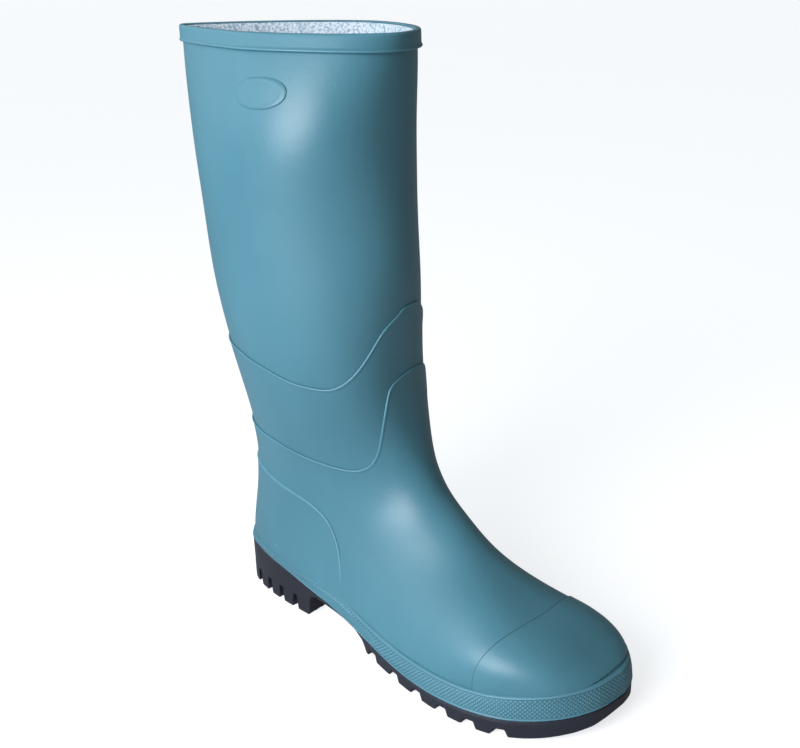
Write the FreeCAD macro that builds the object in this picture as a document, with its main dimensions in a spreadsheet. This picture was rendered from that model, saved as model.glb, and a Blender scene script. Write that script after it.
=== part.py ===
import FreeCAD, Part
import math
import os

# Right-foot rubber rain boot: separate rubber plies over a lining sock, on a
# moulded outsole with a cored heel.  Millimetres, +Z up, toe to +X, lateral
# (outer) side to -Y.  The tables and shapes are written in a frame whose zero is
# the back edge of the outsole on the ground; each piece is then moved by one
# common shift in X and Y, which centres the finished boot on the Z axis.

V = FreeCAD.Vector
os.makedirs("parts", exist_ok=True)
doc = FreeCAD.newDocument("rain_boot")
sheet = doc.addObject("Spreadsheet::Sheet", "Sizes")

# ---------------------------------------------------------------- driving dimensions
SIZES = [
    ("shift_x", -141.1), ("shift_y", -3.4),
    # plies, with a cement gap between neighbours
    ("ply_leg", 1.8), ("ply_thin", 0.65), ("ply_cap", 0.65), ("cement", 0.25),
    ("lining_thick", 1.5), ("lining_below_rim", 0.8),
    ("cuff_thick", 2.15), ("cuff_height", 10.0),
    ("cuff_bead_proud", 1.2), ("cuff_bead_height", 2.6),
    # rim plane: its height at rim_middle_x, y = 0, and its slopes along X and Y
    ("rim_height", 380.4), ("rim_middle_x", 64.0), ("rim_slope_x", -0.021), ("rim_slope_y", 0.0),
    ("board_thick", 2.5), ("foam_thick", 3.5), ("cover_thick", 0.7), ("insole_clear", 1.8),
    ("foxing_min", 1.55), ("foxing_ledge", 2.4), ("foxing_lean_max", 8.5), ("foxing_foot", 1.5),
    # back edge of the toe cap: x on the middle line, and backward sweep per y squared
    ("toe_cap_back", 251.5), ("toe_cap_sweep", 0.0045),
    ("shank_width", 14.0), ("shank_thick", 1.5), ("shank_y", -1.0),
    ("shank_back", 57.0), ("shank_front", 152.0),
    ("slab_width", 150.0),
    ("heel_notch_depth", 12.0), ("heel_notch_high", 11.0), ("heel_notch_wide", 5.0),
    ("back_notch_wide", 4.8), ("back_notch_front", 9.0), ("back_notch_y", 7.0),
    ("lug_depth", 4.6), ("lug_notch_wide", 8.5), ("lug_notch_in", 24.0), ("notch_flare", 0.8),
    ("core_back", 12.0), ("core_front", 52.0), ("core_half", 24.0), ("core_corner", 8.0),
    ("core_floor", 14.0), ("core_gap", 0.3), ("core_blank_high", 24.0),
    ("badge_long", 36.0), ("badge_high", 17.0), ("badge_thick", 1.1),
    ("badge_x", 88.0), ("badge_z", 349.0),
    ("seam_turn", 12.0), ("seam_pivot", 75.0),
    ("tread_groove_wide", 6.0), ("tread_groove_long", 34.0), ("heel_groove_long", 32.0),
]

# Sections from above the rim down the leg, round the heel and out to the toe.
# Each is a planar oval from its front/top point to its back/bottom point.
# lateral and medial are half widths about the centre line at y = middle, widest
# moves the widest place along the section, the powers are the superellipse
# powers of the front and back halves, and bend shifts the back end sideways.
SECTION_KEYS = ("front_x", "front_z", "back_x", "back_z", "lateral", "medial",
                "widest", "front_power", "back_power", "middle", "bend")
SECTIONS = [
    (143.6, 406.0, -17.9, 406.0, 42.0, 69.1, -0.01, 1.7, 1.50, 3.5, -24.4),
    (142.9, 382.8, -17.1, 382.8, 45.0, 66.0, 0.01, 1.7, 1.50, 1.9, -22.0),
    (140.9, 335.1, -14.4, 335.2, 56.0, 55.6, 0.11, 2.3, 1.54, -3.4, -13.9),
    (141.6, 284.7, -6.5, 284.5, 60.2, 58.0, 0.05, 2.0, 1.91, -2.1, -2.8),
    (142.0, 234.8, -2.2, 233.8, 58.8, 57.7, 0.02, 2.05, 1.97, -1.4, -0.5),
    (138.2, 194.9, 5.8, 186.4, 53.3, 54.8, 0.0, 2.4, 2.0, -0.9, 0.0),
    (138.5, 165.2, 10.9, 146.9, 47.7, 52.4, 0.0, 2.45, 2.0, 1.1, 0.0),
    (144.1, 138.7, 11.5, 107.6, 42.4, 46.4, -0.02, 2.28, 2.1, 4.7, 0.0),
    (154.0, 116.2, 7.6, 70.0, 39.0, 42.2, -0.10, 2.05, 2.3, 6.1, 0.0),
    (168.0, 99.5, 5.0, 37.9, 38.5, 39.4, -0.20, 2.1, 2.65, 5.1, 0.0),
    (186.0, 88.4, 22.5, 21.0, 39.6, 38.0, -0.31, 2.15, 3.0, 2.5, 0.0),
    (205.9, 75.5, 79.9, 16.0, 42.0, 37.6, -0.36, 2.3, 3.6, -0.6, 0.0),
    (226.4, 66.1, 149.9, 6.5, 48.0, 38.7, -0.37, 2.6, 4.0, -3.3, 0.0),
    (249.5, 57.6, 204.9, 4.2, 52.0, 42.8, -0.36, 2.9, 4.0, -4.1, 0.0),
    (270.2, 51.0, 247.7, 5.6, 48.0, 41.4, -0.26, 3.0, 4.0, -1.7, 0.0),
    (286.0, 42.2, 276.5, 8.6, 38.0, 32.2, -0.12, 3.0, 3.5, 2.5, 0.0),
    (295.2, 35.8, 291.4, 14.2, 24.0, 18.6, -0.06, 2.7, 3.0, 5.7, 0.0),
    (300.1, 29.9, 298.9, 20.4, 8.0, 6.9, 0.0, 2.2, 2.0, 7.2, 0.0),
]

# Outsole outline: x, half width on the lateral side, half width on the medial side.
OUTLINE_KEYS = ("x", "lat", "med")
OUTLINE = [
    (0, -0.5, 0.5), (4, 11.8, 12.2), (12, 22.3, 22.8), (25, 30.6, 31),
    (50, 36.2, 36.4), (80, 38, 36.5), (110, 39, 35), (140, 43.5, 37),
    (170, 51.3, 43.5), (200, 57.2, 50), (225, 58.8, 53), (250, 55.3, 52.5),
    (270, 46.3, 47), (285, 34.4, 39.3), (295, 21.2, 27.5), (300, 9.3, 17.8),
    (302, -4, 9),
]

# ---------------------------------------------------------------- curves as (x, z) tables
# feather line: the top of the outsole
FEATHER = [
    (-6, 31.5), (20, 31.4), (33, 31.0), (42, 30.0), (58, 28.6), (73, 26.9), (91, 24.1),
    (106, 21.4), (126, 17.4), (137.5, 14.4), (152, 11.4), (165, 9.4), (176, 8.5), (188, 8.3),
    (202, 8.7), (214, 9.3), (228, 10.0), (239, 10.6), (253, 11.4), (266, 12.3), (286, 14.5),
    (295, 15.8), (308, 18.4),
]
FOXING_TOP = [
    (-6, 37.2), (20, 37.0), (33, 36.6), (42, 35.7), (58, 34.4), (73, 33.5), (91, 33.2),
    (106, 33.5), (120, 33.0), (138, 29.6), (158, 26.2), (178, 23.9), (191, 23.3), (206, 23.5),
    (219, 23.8), (232, 24.3), (247, 25.5), (260, 27.3), (278, 30.1), (290, 31.6), (300, 32.4),
    (308, 33.0),
]
# top edges of the overlaid plies; x runs along the turned seam axis, from its pivot
ANKLE_EDGE = [
    (-110, 192.5), (-90, 192.0), (-41, 188.6), (-30, 186.8), (-11.6, 182.6), (6.7, 177.7),
    (22.7, 175.6), (34, 175.7), (43, 180.6), (50, 189.5), (55.4, 200.5), (60, 211),
    (64, 218.5), (70, 222.5), (100, 224),
]
FOOT_EDGE = [
    (-110, 131.0), (-75, 130.0), (-28, 126.2), (-11.6, 123.4), (8.7, 119.7), (27, 117.2),
    (40, 116.9), (49, 121.0), (54.3, 131), (56.8, 147), (58.0, 162), (59.5, 173), (64, 179),
    (72, 181.5), (100, 182),
]
# top and front edge of the heel counter
COUNTER_EDGE = [
    (-30, 100.5), (10, 99.0), (38, 95.0), (55, 91.8), (67, 89.2), (80, 86.4), (90, 83.0),
    (99, 78.0), (106, 71.2), (113, 62.0), (118, 52.0), (120.5, 42.0), (121.5, 31.0),
    (121.8, 17.0),
]
# outsole underside: from the feather line's front end down, along toe spring,
# tread, arch and heel, and up to the feather line's back end
OUTSOLE_BOTTOM = [
    FEATHER[-1], (308, 13.0), (302.5, 10.5), (297, 6.4), (291, 4.6), (279, 2.4), (261, 0.4),
    (252, 0.0), (146, 0.0), (140.5, 7.5), (132, 11.6), (121, 13.6), (106, 15.0), (92, 17.0),
    (86.5, 15.5), (84, 0.0), (-6, 0.0), FEATHER[0],
]

# x stations of the cuts in the underside
LUG_NOTCHES = [151.5, 175.5, 197.5, 218.5, 238.0, 256.5]
HEEL_NOTCHES = [27.5, 41.5, 55.5, 70.5]
HEEL_GROOVES = [20.0, 40.0, 60.0]
# x and middle y of the forefoot grooves
TREAD_GROOVES = [(163.5, -3.0), (186.5, -3.0), (208.0, -3.0), (228.5, -3.0), (247.0, -3.0),
                 (264.0, 1.0)]


# ---------------------------------------------------------------- spreadsheet
LETTERS = "abcdefghijklmnopqrs"


def named_cells(prefix, keys, rows):
    return [("%s%s_%s" % (prefix, letter, key), value)
            for letter, values in zip(LETTERS, rows) for key, value in zip(keys, values)]


cells = (SIZES + named_cells("row", SECTION_KEYS, SECTIONS)
         + named_cells("outline", OUTLINE_KEYS, OUTLINE))
for number, (name, value) in enumerate(cells, 1):
    sheet.set("A%d" % number, name)
    sheet.set("B%d" % number, str(value))
    sheet.setAlias("B%d" % number, name)
doc.recompute()


def size(name):
    return float(sheet.get(name))


def read_rows(prefix, keys, count):
    return [[size("%s%s_%s" % (prefix, letter, key)) for key in keys]
            for letter in LETTERS[:count]]


SECTIONS = read_rows("row", SECTION_KEYS, len(SECTIONS))
OUTLINE = read_rows("outline", OUTLINE_KEYS, len(OUTLINE))
SHIFT = V(size("shift_x"), size("shift_y"), 0)
CEMENT = size("cement")


# ---------------------------------------------------------------- master surface
def spline_seconds(values):
    """Second derivatives of the natural cubic spline through values at 0, 1, 2 ..."""
    count = len(values)
    below, diagonal, above, right = ([0.0] * count, [1.0] * count,
                                     [0.0] * count, [0.0] * count)
    for i in range(1, count - 1):
        below[i], diagonal[i], above[i] = 1.0, 4.0, 1.0
        right[i] = 6.0 * (values[i + 1] - 2 * values[i] + values[i - 1])
    for i in range(1, count):
        factor = below[i] / diagonal[i - 1]
        diagonal[i] -= factor * above[i - 1]
        right[i] -= factor * right[i - 1]
    seconds = [0.0] * count
    seconds[-1] = right[-1] / diagonal[-1]
    for i in range(count - 2, -1, -1):
        seconds[i] = (right[i] - above[i] * seconds[i + 1]) / diagonal[i]
    return seconds


COLUMNS = list(zip(*SECTIONS))
SECONDS = [spline_seconds(column) for column in COLUMNS]


def section_at(place):
    """Section values at a fractional row number, in the order of SECTION_KEYS."""
    i = max(0, min(len(SECTIONS) - 2, int(math.floor(place))))
    after = place - i
    before = 1 - after
    return [before * column[i] + after * column[i + 1]
            + (before ** 3 - before) * seconds[i] / 6.0
            + (after ** 3 - after) * seconds[i + 1] / 6.0
            for column, seconds in zip(COLUMNS, SECONDS)]


def interpolate(table, x):
    """Straight-line interpolation in a table of pairs, held level past both ends."""
    if x <= table[0][0]:
        return table[0][1]
    for (x0, y0), (x1, y1) in zip(table, table[1:]):
        if x <= x1:
            return y0 + (y1 - y0) * (x - x0) / (x1 - x0)
    return table[-1][1]


# The lower plies stack up, so the base surface sits in a little lower down
# (row, extra offset); towards the toe all offsets are stretched (row, factor).
BASE = [(0, 0.0), (4, 0.0), (5, -0.25), (6, -0.75), (8, -1.5), (9, -1.6), (12, -1.7),
        (14, -2.3), (17, -2.4)]
STRETCH = [(0, 1.0), (13, 1.0), (14, 1.05), (15, 1.2), (16, 1.45), (17, 1.6)]
TOE_ROW = 16.0          # past this row the rings also move along their own axis
AROUND = 56             # points round a ring
DENSE = 720             # finer points, from which the even ones are picked
RING_ROWS = [
    0, 0.5, 1, 1.5, 2, 2.5, 3, 3.5, 4, 4.4, 4.8, 5.2, 5.6, 6, 6.4, 6.8, 7.2, 7.6, 8, 8.4, 8.8,
    9.2, 9.6, 10, 10.4, 10.8, 11.2, 11.6, 12, 12.4, 12.8, 13.2, 13.6, 14, 14.35, 14.7, 15.05,
    15.4, 15.7, 16.0, 16.2, 16.5, 16.75,
]


def evenly_spaced(loop, count):
    """Points at equal arc lengths round a closed loop of pairs, from its first point."""
    lengths = [0.0]
    for i in range(len(loop)):
        start, end = loop[i], loop[(i + 1) % len(loop)]
        lengths.append(lengths[-1] + math.hypot(end[0] - start[0], end[1] - start[1]))
    points, k = [], 0
    for j in range(count):
        target = lengths[-1] * j / count
        while lengths[k + 1] < target:
            k += 1
        part = (target - lengths[k]) / max(1e-9, lengths[k + 1] - lengths[k])
        start, end = loop[k], loop[(k + 1) % len(loop)]
        points.append((start[0] + (end[0] - start[0]) * part,
                       start[1] + (end[1] - start[1]) * part))
    return points


def ring(place, offset):
    """Points round the offset section, starting at its front or top point."""
    (front_x, front_z, back_x, back_z, lateral, medial,
     widest, front_power, back_power, middle, bend) = section_at(place)
    base_offset = offset + interpolate(BASE, place)
    grow = base_offset * interpolate(STRETCH, place)
    centre_x, centre_z = (front_x + back_x) / 2, (front_z + back_z) / 2
    half_x, half_z = (front_x - back_x) / 2, (front_z - back_z) / 2
    half = math.hypot(half_x, half_z)
    axis_x, axis_z = half_x / half, half_z / half
    # the widest place stays where it is while both ends move
    reach = half + grow
    widest = half * widest / reach
    lateral, medial = lateral + grow, medial + grow
    if place > TOE_ROW:
        advance = base_offset * (place - TOE_ROW)
        centre_x += axis_z * advance
        centre_z -= axis_x * advance
    oval = []
    for i in range(DENSE):
        angle = 2 * math.pi * i / DENSE
        cosine, sine = math.cos(angle), math.sin(angle)
        exponent = 2.0 / (front_power if cosine >= 0 else back_power)
        if cosine >= 0:
            along = widest + (1 - widest) * abs(cosine) ** exponent
        else:
            along = widest - (1 + widest) * abs(cosine) ** exponent
        across = abs(sine) ** exponent
        y = middle + (medial * across if sine >= 0 else -lateral * across)
        if along < widest:
            y += bend * ((widest - along) / (1 + widest)) ** 2
        oval.append((reach * along, y))
    return [V(centre_x + axis_x * along, y, centre_z + axis_z * along)
            for along, y in evenly_spaced(oval, AROUND)]


def periodic_curve(points):
    """Closed curve with evenly spaced parameters."""
    count = len(points)
    curve = Part.BSplineCurve()
    curve.interpolate(Points=points, PeriodicFlag=True,
                      Parameters=[float(i) / count for i in range(count + 1)])
    return curve


def block(offset):
    """The solid inside the master surface offset outward (negative is inward)."""
    # deep inward offsets stop short of the toe, where the rings would collapse
    last = 17.0 if offset > -2.9 else (16.2 if offset > -4.4 else 15.7)
    places = [float(place) for place in RING_ROWS if place < last - 0.12] + [last]
    rings = [periodic_curve(ring(place, offset)) for place in places]
    around = rings[0]
    poles = []
    for column in zip(*[curve.getPoles() for curve in rings]):
        down = Part.BSplineCurve()
        down.interpolate(Points=list(column), Parameters=places)
        poles.append(down.getPoles())
    surface = Part.BSplineSurface()
    surface.buildFromPolesMultsKnots(
        poles, around.getMultiplicities(), down.getMultiplicities(),
        around.getKnots(), down.getKnots(), True, False, around.Degree, down.Degree)
    side = Part.Face(surface)
    # flat ends over the closed edges above the rim and at the toe
    ends = []
    for edge in side.Edges:
        box = edge.BoundBox
        if edge.isClosed() and (box.ZMin > 395 or box.XMin > 240):
            ends.append(Part.Face(Part.Wire([edge])))
    shell = Part.makeShell([side] + ends)
    shell.sewShape()
    solid = Part.Solid(shell)
    if solid.Volume < 0:
        solid.reverse()
    return solid


# ---------------------------------------------------------------- cutters
# planes well clear of the boot, where the cutters close
CLEAR_BACK, CLEAR_FRONT, CLEAR_TOP, CLEAR_BOTTOM = -60, 330, 460, -30


def table_points(table, lift=0.0):
    return [V(x, 0, z + lift) for x, z in table]


def spline_edge(points):
    curve = Part.BSplineCurve()
    curve.interpolate(Points=points)
    return curve.toShape()


def lines(points):
    return [Part.makeLine(start, end) for start, end in zip(points, points[1:])]


def face_within(edges):
    return Part.Face(Part.Wire(Part.__sortEdges__(edges)))


def prism_across(edges, half=120.0):
    """A prism across the boot from closed edges in the XZ plane."""
    face = face_within(edges)
    face.translate(V(0, -half, 0))
    return face.extrude(V(0, 2 * half, 0))


def above(table, lift):
    """Everything above a lifted height table."""
    points = table_points(table, lift)
    back, front = points[0], points[-1]
    return prism_across([spline_edge(points)] + lines(
        [front, V(CLEAR_FRONT, 0, front.z), V(CLEAR_FRONT, 0, CLEAR_TOP),
         V(CLEAR_BACK, 0, CLEAR_TOP), V(CLEAR_BACK, 0, back.z), back]))


def band(low_table, low_lift, high_table, high_lift):
    """The slab between two lifted height tables."""
    low = table_points(low_table, low_lift)
    high = table_points(high_table, high_lift)
    return prism_across([spline_edge(low), spline_edge(high)]
                        + lines([low[-1], high[-1]]) + lines([low[0], high[0]]))


def below_edge(table):
    """Everything under a ply edge, with the edge turned about the leg."""
    points = table_points(table)
    back, front = points[0], points[-1]
    front_x = 260
    zone = prism_across([spline_edge(points)] + lines(
        [front, V(front_x, 0, front.z), V(front_x, 0, CLEAR_BOTTOM),
         V(back.x, 0, CLEAR_BOTTOM), back]), 160.0)
    zone.rotate(V(0, 0, 0), V(0, 0, 1), size("seam_turn"))
    zone.translate(V(size("seam_pivot"), 0, 0))
    return zone


def above_rim(drop):
    """Everything above the sloping rim plane, lowered by drop."""
    corners = []
    for x, y in ((-200, -200), (400, -200), (400, 200), (-200, 200), (-200, -200)):
        z = (size("rim_height") - drop + size("rim_slope_x") * (x - size("rim_middle_x"))
             + size("rim_slope_y") * y)
        corners.append(V(x, y, z))
    return Part.Face(Part.makePolygon(corners)).extrude(V(0, 0, 120))


def outline_curve():
    """Closed outsole outline; its two sides share the back point."""
    lateral_side = [V(x, -lateral, 0) for x, lateral, medial in OUTLINE]
    medial_side = [V(x, medial, 0) for x, lateral, medial in OUTLINE[1:]]
    curve = Part.BSplineCurve()
    curve.interpolate(Points=lateral_side + medial_side[::-1], PeriodicFlag=True)
    return curve


# ---------------------------------------------------------------- layers
# offsets of the layer faces from the master surface
ankle_inner = CEMENT
ankle_outer = ankle_inner + size("ply_thin")
foot_inner = ankle_outer + CEMENT
foot_outer = foot_inner + size("ply_thin")
cap_inner = foot_outer + CEMENT
cap_outer = cap_inner + size("ply_cap")
lining_outer = -size("ply_leg") - CEMENT
lining_inner = lining_outer - size("lining_thick")
# heights above the feather line
board_top = CEMENT + size("board_thick")
upper_foot = board_top + CEMENT             # uppers and lining start above the board
lining_floor = upper_foot + size("lining_thick")
foam_bottom = lining_floor + CEMENT
foam_top = foam_bottom + size("foam_thick")
cover_bottom = foam_top + CEMENT

# solids and cutters shared by several pieces
inside_ankle = block(ankle_inner)
inside_caps = block(cap_inner)
outside_foot = block(foot_outer)
inside_insole = block(lining_inner - size("insole_clear"))
upper_zone = above(FEATHER, upper_foot)
rim_zone = above_rim(0.0)
cap_skin = block(cap_outer).cut(inside_caps).common(above(FOXING_TOP, CEMENT))


def leg_shell():
    """The base ply, one skin over the whole boot."""
    skin = block(0.0).cut(block(-size("ply_leg")))
    return skin.common(upper_zone).cut(rim_zone)


def ankle_ply():
    skin = block(ankle_outer).cut(inside_ankle)
    return skin.common(upper_zone).common(below_edge(ANKLE_EDGE))


def foot_ply():
    skin = outside_foot.cut(block(foot_inner))
    return skin.common(upper_zone).common(below_edge(FOOT_EDGE))


def toe_cap():
    """Cap skin in front of an arc across the toe, down to the foxing."""
    half_width, front_x = 80, 340
    arc = [V(size("toe_cap_back") - size("toe_cap_sweep") * y * y, y, 0)
           for y in range(-half_width, half_width + 1, 20)]
    zone = face_within([spline_edge(arc)] + lines(
        [arc[-1], V(front_x, half_width, 0), V(front_x, -half_width, 0), arc[0]]))
    return cap_skin.common(zone.extrude(V(0, 0, 120)))


def heel_counter():
    """Cap skin round the heel, down to the foxing."""
    points = table_points(COUNTER_EDGE)
    zone = prism_across([spline_edge(points)]
                        + lines([points[-1], V(points[0].x, 0, 20), points[0]]))
    return cap_skin.common(zone)


FOXING_STATIONS = 72
LEAN_CHECKS = (0.35, 0.55, 0.75, 0.9, 1.0)      # fractions of the band's height
PROBE_LENGTH = 22


def foxing_heights(x):
    """Height where the band starts to lean in, and its top."""
    return interpolate(FEATHER, x) + size("foxing_foot"), interpolate(FOXING_TOP, x)


def foxing_lean(point, inward, skin):
    """The smallest lean, over the band's height, that keeps the ledge clear of the upper."""
    foot, top = foxing_heights(point.x)
    lean = 99.0
    for part in LEAN_CHECKS:
        start = V(point.x, point.y, foot + (top - foot) * part)
        hit = Part.makeLine(start, start + inward * PROBE_LENGTH).distToShape(skin)
        clear = (hit[1][0][0] - start).Length if hit[0] < 0.01 else 0.0
        lean = min(lean, (clear - size("foxing_ledge")) / part)
    return min(size("foxing_lean_max"), max(0.0, lean))


def foxing_band():
    """Strip round the feather line.  Its foot follows the outsole edge and it
    leans in to a narrow ledge round the upper at its top edge."""
    outline = outline_curve().toShape()
    skin = max(inside_caps.Faces, key=lambda face: face.Area)
    stations = []
    for i in range(FOXING_STATIONS):
        parameter = outline.getParameterByLength(outline.Length * i / FOXING_STATIONS)
        point, tangent = outline.valueAt(parameter), outline.tangentAt(parameter)
        inward = V(tangent.y, -tangent.x, 0)
        inward.normalize()
        middle = V(min(270.0, max(30.0, point.x)), 0, 0)
        if inward.dot(middle - point) < 0:
            inward = inward * -1
        stations.append((point, inward))
    leans = [foxing_lean(point, inward, skin) for point, inward in stations]
    for _ in range(3):          # smooth the lean round the boot
        leans = [(leans[i - 1] + 2 * leans[i] + leans[(i + 1) % FOXING_STATIONS]) / 4
                 for i in range(FOXING_STATIONS)]
    columns = []
    for (point, inward), lean in zip(stations, leans):
        x, y = point.x, point.y
        foot, top = foxing_heights(x)
        columns.append((V(x, y, -5), V(x, y, foot),
                        V(x, y, top) + inward * lean, V(x, y, 60) + inward * lean))
    wires = [Part.Wire([periodic_curve(list(level)).toShape()]) for level in zip(*columns)]
    drum = Part.makeLoft(wires, True, True)
    least = block(cap_inner + size("foxing_min"))
    strip = band(FEATHER, CEMENT, FOXING_TOP, 0.0)
    return drum.fuse(least).common(strip).cut(inside_caps)


def cuff_band():
    """Band round the rim, with a bead along its lower edge."""
    height = size("cuff_height")
    outer = ankle_inner + size("cuff_thick")
    cuff = block(outer).cut(rim_zone).common(above_rim(height))
    bead = block(outer + size("cuff_bead_proud")).common(above_rim(height))
    bead = bead.cut(above_rim(height - size("cuff_bead_height")))
    return cuff.fuse(bead).cut(inside_ankle)


def badge_pad():
    """Plain raised oval on the lateral side of the leg."""
    centre = V(size("badge_x"), 0, size("badge_z"))
    oval = Part.Ellipse(centre, size("badge_long") / 2, size("badge_high") / 2)
    wire = Part.Wire([oval.toShape()])
    wire.rotate(centre, V(1, 0, 0), 90)
    face = Part.Face(wire)
    face.translate(V(0, -100, 0))
    zone = face.extrude(V(0, 98, 0))
    return block(ankle_inner + size("badge_thick")).cut(inside_ankle).common(zone)


def lining_sock():
    """Closed at the bottom, open at the rim."""
    outside = block(lining_outer).common(above(FEATHER, upper_foot))
    inside = block(lining_inner).common(above(FEATHER, lining_floor))
    return outside.cut(inside).cut(above_rim(size("lining_below_rim")))


def insole_board():
    """Board under the lining."""
    return band(FEATHER, CEMENT, FEATHER, board_top).common(outside_foot)


def insole_foam():
    """Lower layer of the insole, on top of the lining."""
    return band(FEATHER, foam_bottom, FEATHER, foam_top).common(inside_insole)


def insole_cover():
    cover_top = cover_bottom + size("cover_thick")
    return band(FEATHER, cover_bottom, FEATHER, cover_top).common(inside_insole)


def arch_shank():
    """A formed strip let into the top of the outsole."""
    back, width = size("shank_back"), size("shank_width")
    zone = Part.makeBox(size("shank_front") - back, width, 60,
                        V(back, size("shank_y") - width / 2, 0))
    return band(FEATHER, -size("shank_thick"), FEATHER, 0.0).common(zone)


for make_piece in (leg_shell, ankle_ply, foot_ply, toe_cap, heel_counter, foxing_band,
                   cuff_band, badge_pad, lining_sock, insole_board, insole_foam,
                   insole_cover, arch_shank):
    piece = doc.addObject("Part::Feature", make_piece.__name__)
    piece.Label = make_piece.__name__
    # the cuts can leave slivers; the piece is the largest solid
    piece.Shape = max(make_piece().Solids, key=lambda solid: solid.Volume)
    piece.Placement = FreeCAD.Placement(SHIFT, FreeCAD.Rotation())


# ---------------------------------------------------------------- body helpers
def new_body(label):
    body = doc.addObject("PartDesign::Body", label)
    body.Label = label
    return body


def sketch_on(body, name, role, lift=None):
    sketch = body.newObject("Sketcher::SketchObject", name)
    plane = [o for o in body.Origin.OriginFeatures if o.Role == role][0]
    sketch.AttachmentSupport = (plane, "")
    sketch.MapMode = "FlatFace"
    if lift:
        sketch.setExpression("AttachmentOffset.Base.z", lift)
    return sketch


def sketch_lines(sketch, points):
    for start, end in zip(points, points[1:]):
        sketch.addGeometry(Part.LineSegment(V(start[0], start[1], 0), V(end[0], end[1], 0)),
                           False)


def polygon(sketch, points):
    sketch_lines(sketch, points + points[:1])


def rectangle(sketch, x0, x1, y0, y1):
    polygon(sketch, [(x0, y0), (x1, y0), (x1, y1), (x0, y1)])


def sketch_spline(sketch, pairs):
    curve = Part.BSplineCurve()
    curve.interpolate(Points=[V(x, z, 0) for x, z in pairs])
    sketch.addGeometry(curve, False)


def area_above_feather(sketch, lift, back, front, steps):
    """Closed area from the lifted feather line up to z = 60, between two x stations."""
    line = spline_edge(table_points(FEATHER, lift))
    pairs = []
    for i in range(steps + 1):
        x = back + (front - back) * i / float(steps)
        upright = Part.makeLine(V(x, 0, -50), V(x, 0, 90))
        pairs.append((x, line.distToShape(upright)[1][0][0].z))
    sketch_spline(sketch, pairs)
    sketch_lines(sketch, [pairs[-1], (pairs[-1][0], 60), (pairs[0][0], 60), pairs[0]])


def pad(body, name, sketch, length, midplane=False):
    feature = body.newObject("PartDesign::Pad", name)
    feature.Profile = sketch
    feature.setExpression("Length", length)
    if midplane:
        feature.Midplane = True
    doc.recompute()


def cut_up(body, name, sketch, depth=None):
    """Pocket from the sketch towards +Z, through everything if no depth is given."""
    pocket = body.newObject("PartDesign::Pocket", name)
    pocket.Profile = sketch
    if depth:
        pocket.setExpression("Length", depth)
    else:
        pocket.Type = "ThroughAll"
    pocket.Reversed = True
    doc.recompute()


def cut_both_ways(body, name, sketch):
    pocket = body.newObject("PartDesign::Pocket", name)
    pocket.Profile = sketch
    pocket.Type = "ThroughAll"
    pocket.Midplane = True
    doc.recompute()
    return pocket


def finish_body(body, tip):
    body.Tip = tip
    body.setExpression("Placement.Base.x", "Sizes.shift_x")
    body.setExpression("Placement.Base.y", "Sizes.shift_y")


def core_plan(sketch, gap):
    """Plan of the heel core with its two back corners cut off, stepped in by gap."""
    back, front = size("core_back"), size("core_front")
    half, corner = size("core_half"), size("core_corner")
    polygon(sketch, [
        (back + gap, -half + corner + gap), (back + corner + gap, -half + gap),
        (front - gap, -half + gap), (front - gap, half - gap),
        (back + corner + gap, half - gap), (back + gap, half - corner - gap)])


# ---------------------------------------------------------------- moulded outsole
def edge_notches(sketch, stations, wide, inward):
    """Notches from both edges of the outsole, flaring a little outward."""
    past_edge, flare = 12, size("notch_flare")
    for x in stations:
        for sign, side in ((-1, 1), (1, 2)):
            half_width = interpolate([(row[0], row[side]) for row in OUTLINE], x)
            inner, outer = sign * (half_width - inward), sign * (half_width + past_edge)
            polygon(sketch, [(x - wide / 2, inner), (x + wide / 2, inner),
                             (x + wide / 2 + flare, outer), (x - wide / 2 - flare, outer)])


def cut_notches(body):
    lug_sketch = sketch_on(body, "LugNotches", "XY_Plane")
    edge_notches(lug_sketch, LUG_NOTCHES, size("lug_notch_wide"), size("lug_notch_in"))
    cut_up(body, "LugNotch", lug_sketch, "Sizes.lug_depth")

    heel_sketch = sketch_on(body, "HeelNotches", "XY_Plane")
    edge_notches(heel_sketch, HEEL_NOTCHES, size("heel_notch_wide"), size("heel_notch_depth"))
    half = size("back_notch_wide") / 2
    for y in (-size("back_notch_y"), size("back_notch_y")):     # in the back of the heel
        rectangle(heel_sketch, -12, size("back_notch_front"), y - half, y + half)
    cut_up(body, "HeelNotch", heel_sketch, "Sizes.heel_notch_high")


def cut_grooves(body):
    sketch = sketch_on(body, "TreadGrooves", "XY_Plane")
    half_wide = size("tread_groove_wide") / 2
    grooves = [(x, y, size("tread_groove_long") / 2) for x, y in TREAD_GROOVES]
    grooves += [(x, 0, size("heel_groove_long") / 2) for x in HEEL_GROOVES]
    for x, y, half_long in grooves:
        rectangle(sketch, x - half_wide, x + half_wide, y - half_long, y + half_long)
    cut_up(body, "TreadGroove", sketch, "Sizes.lug_depth")


def cut_shank_seat(body):
    sketch = sketch_on(body, "ShankSeat", "XZ_Plane")
    area_above_feather(sketch, -size("shank_thick") - CEMENT,
                       size("shank_back") - CEMENT, size("shank_front") + CEMENT, 14)
    seat = body.newObject("PartDesign::Pocket", "ShankSeatCut")
    seat.Profile = sketch
    seat.SideType = "Two sides"
    seat.setExpression("Length", "Sizes.shank_width / 2 - Sizes.shank_y + Sizes.cement")
    seat.setExpression("Length2", "Sizes.shank_width / 2 + Sizes.shank_y + Sizes.cement")
    doc.recompute()
    return seat


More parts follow.
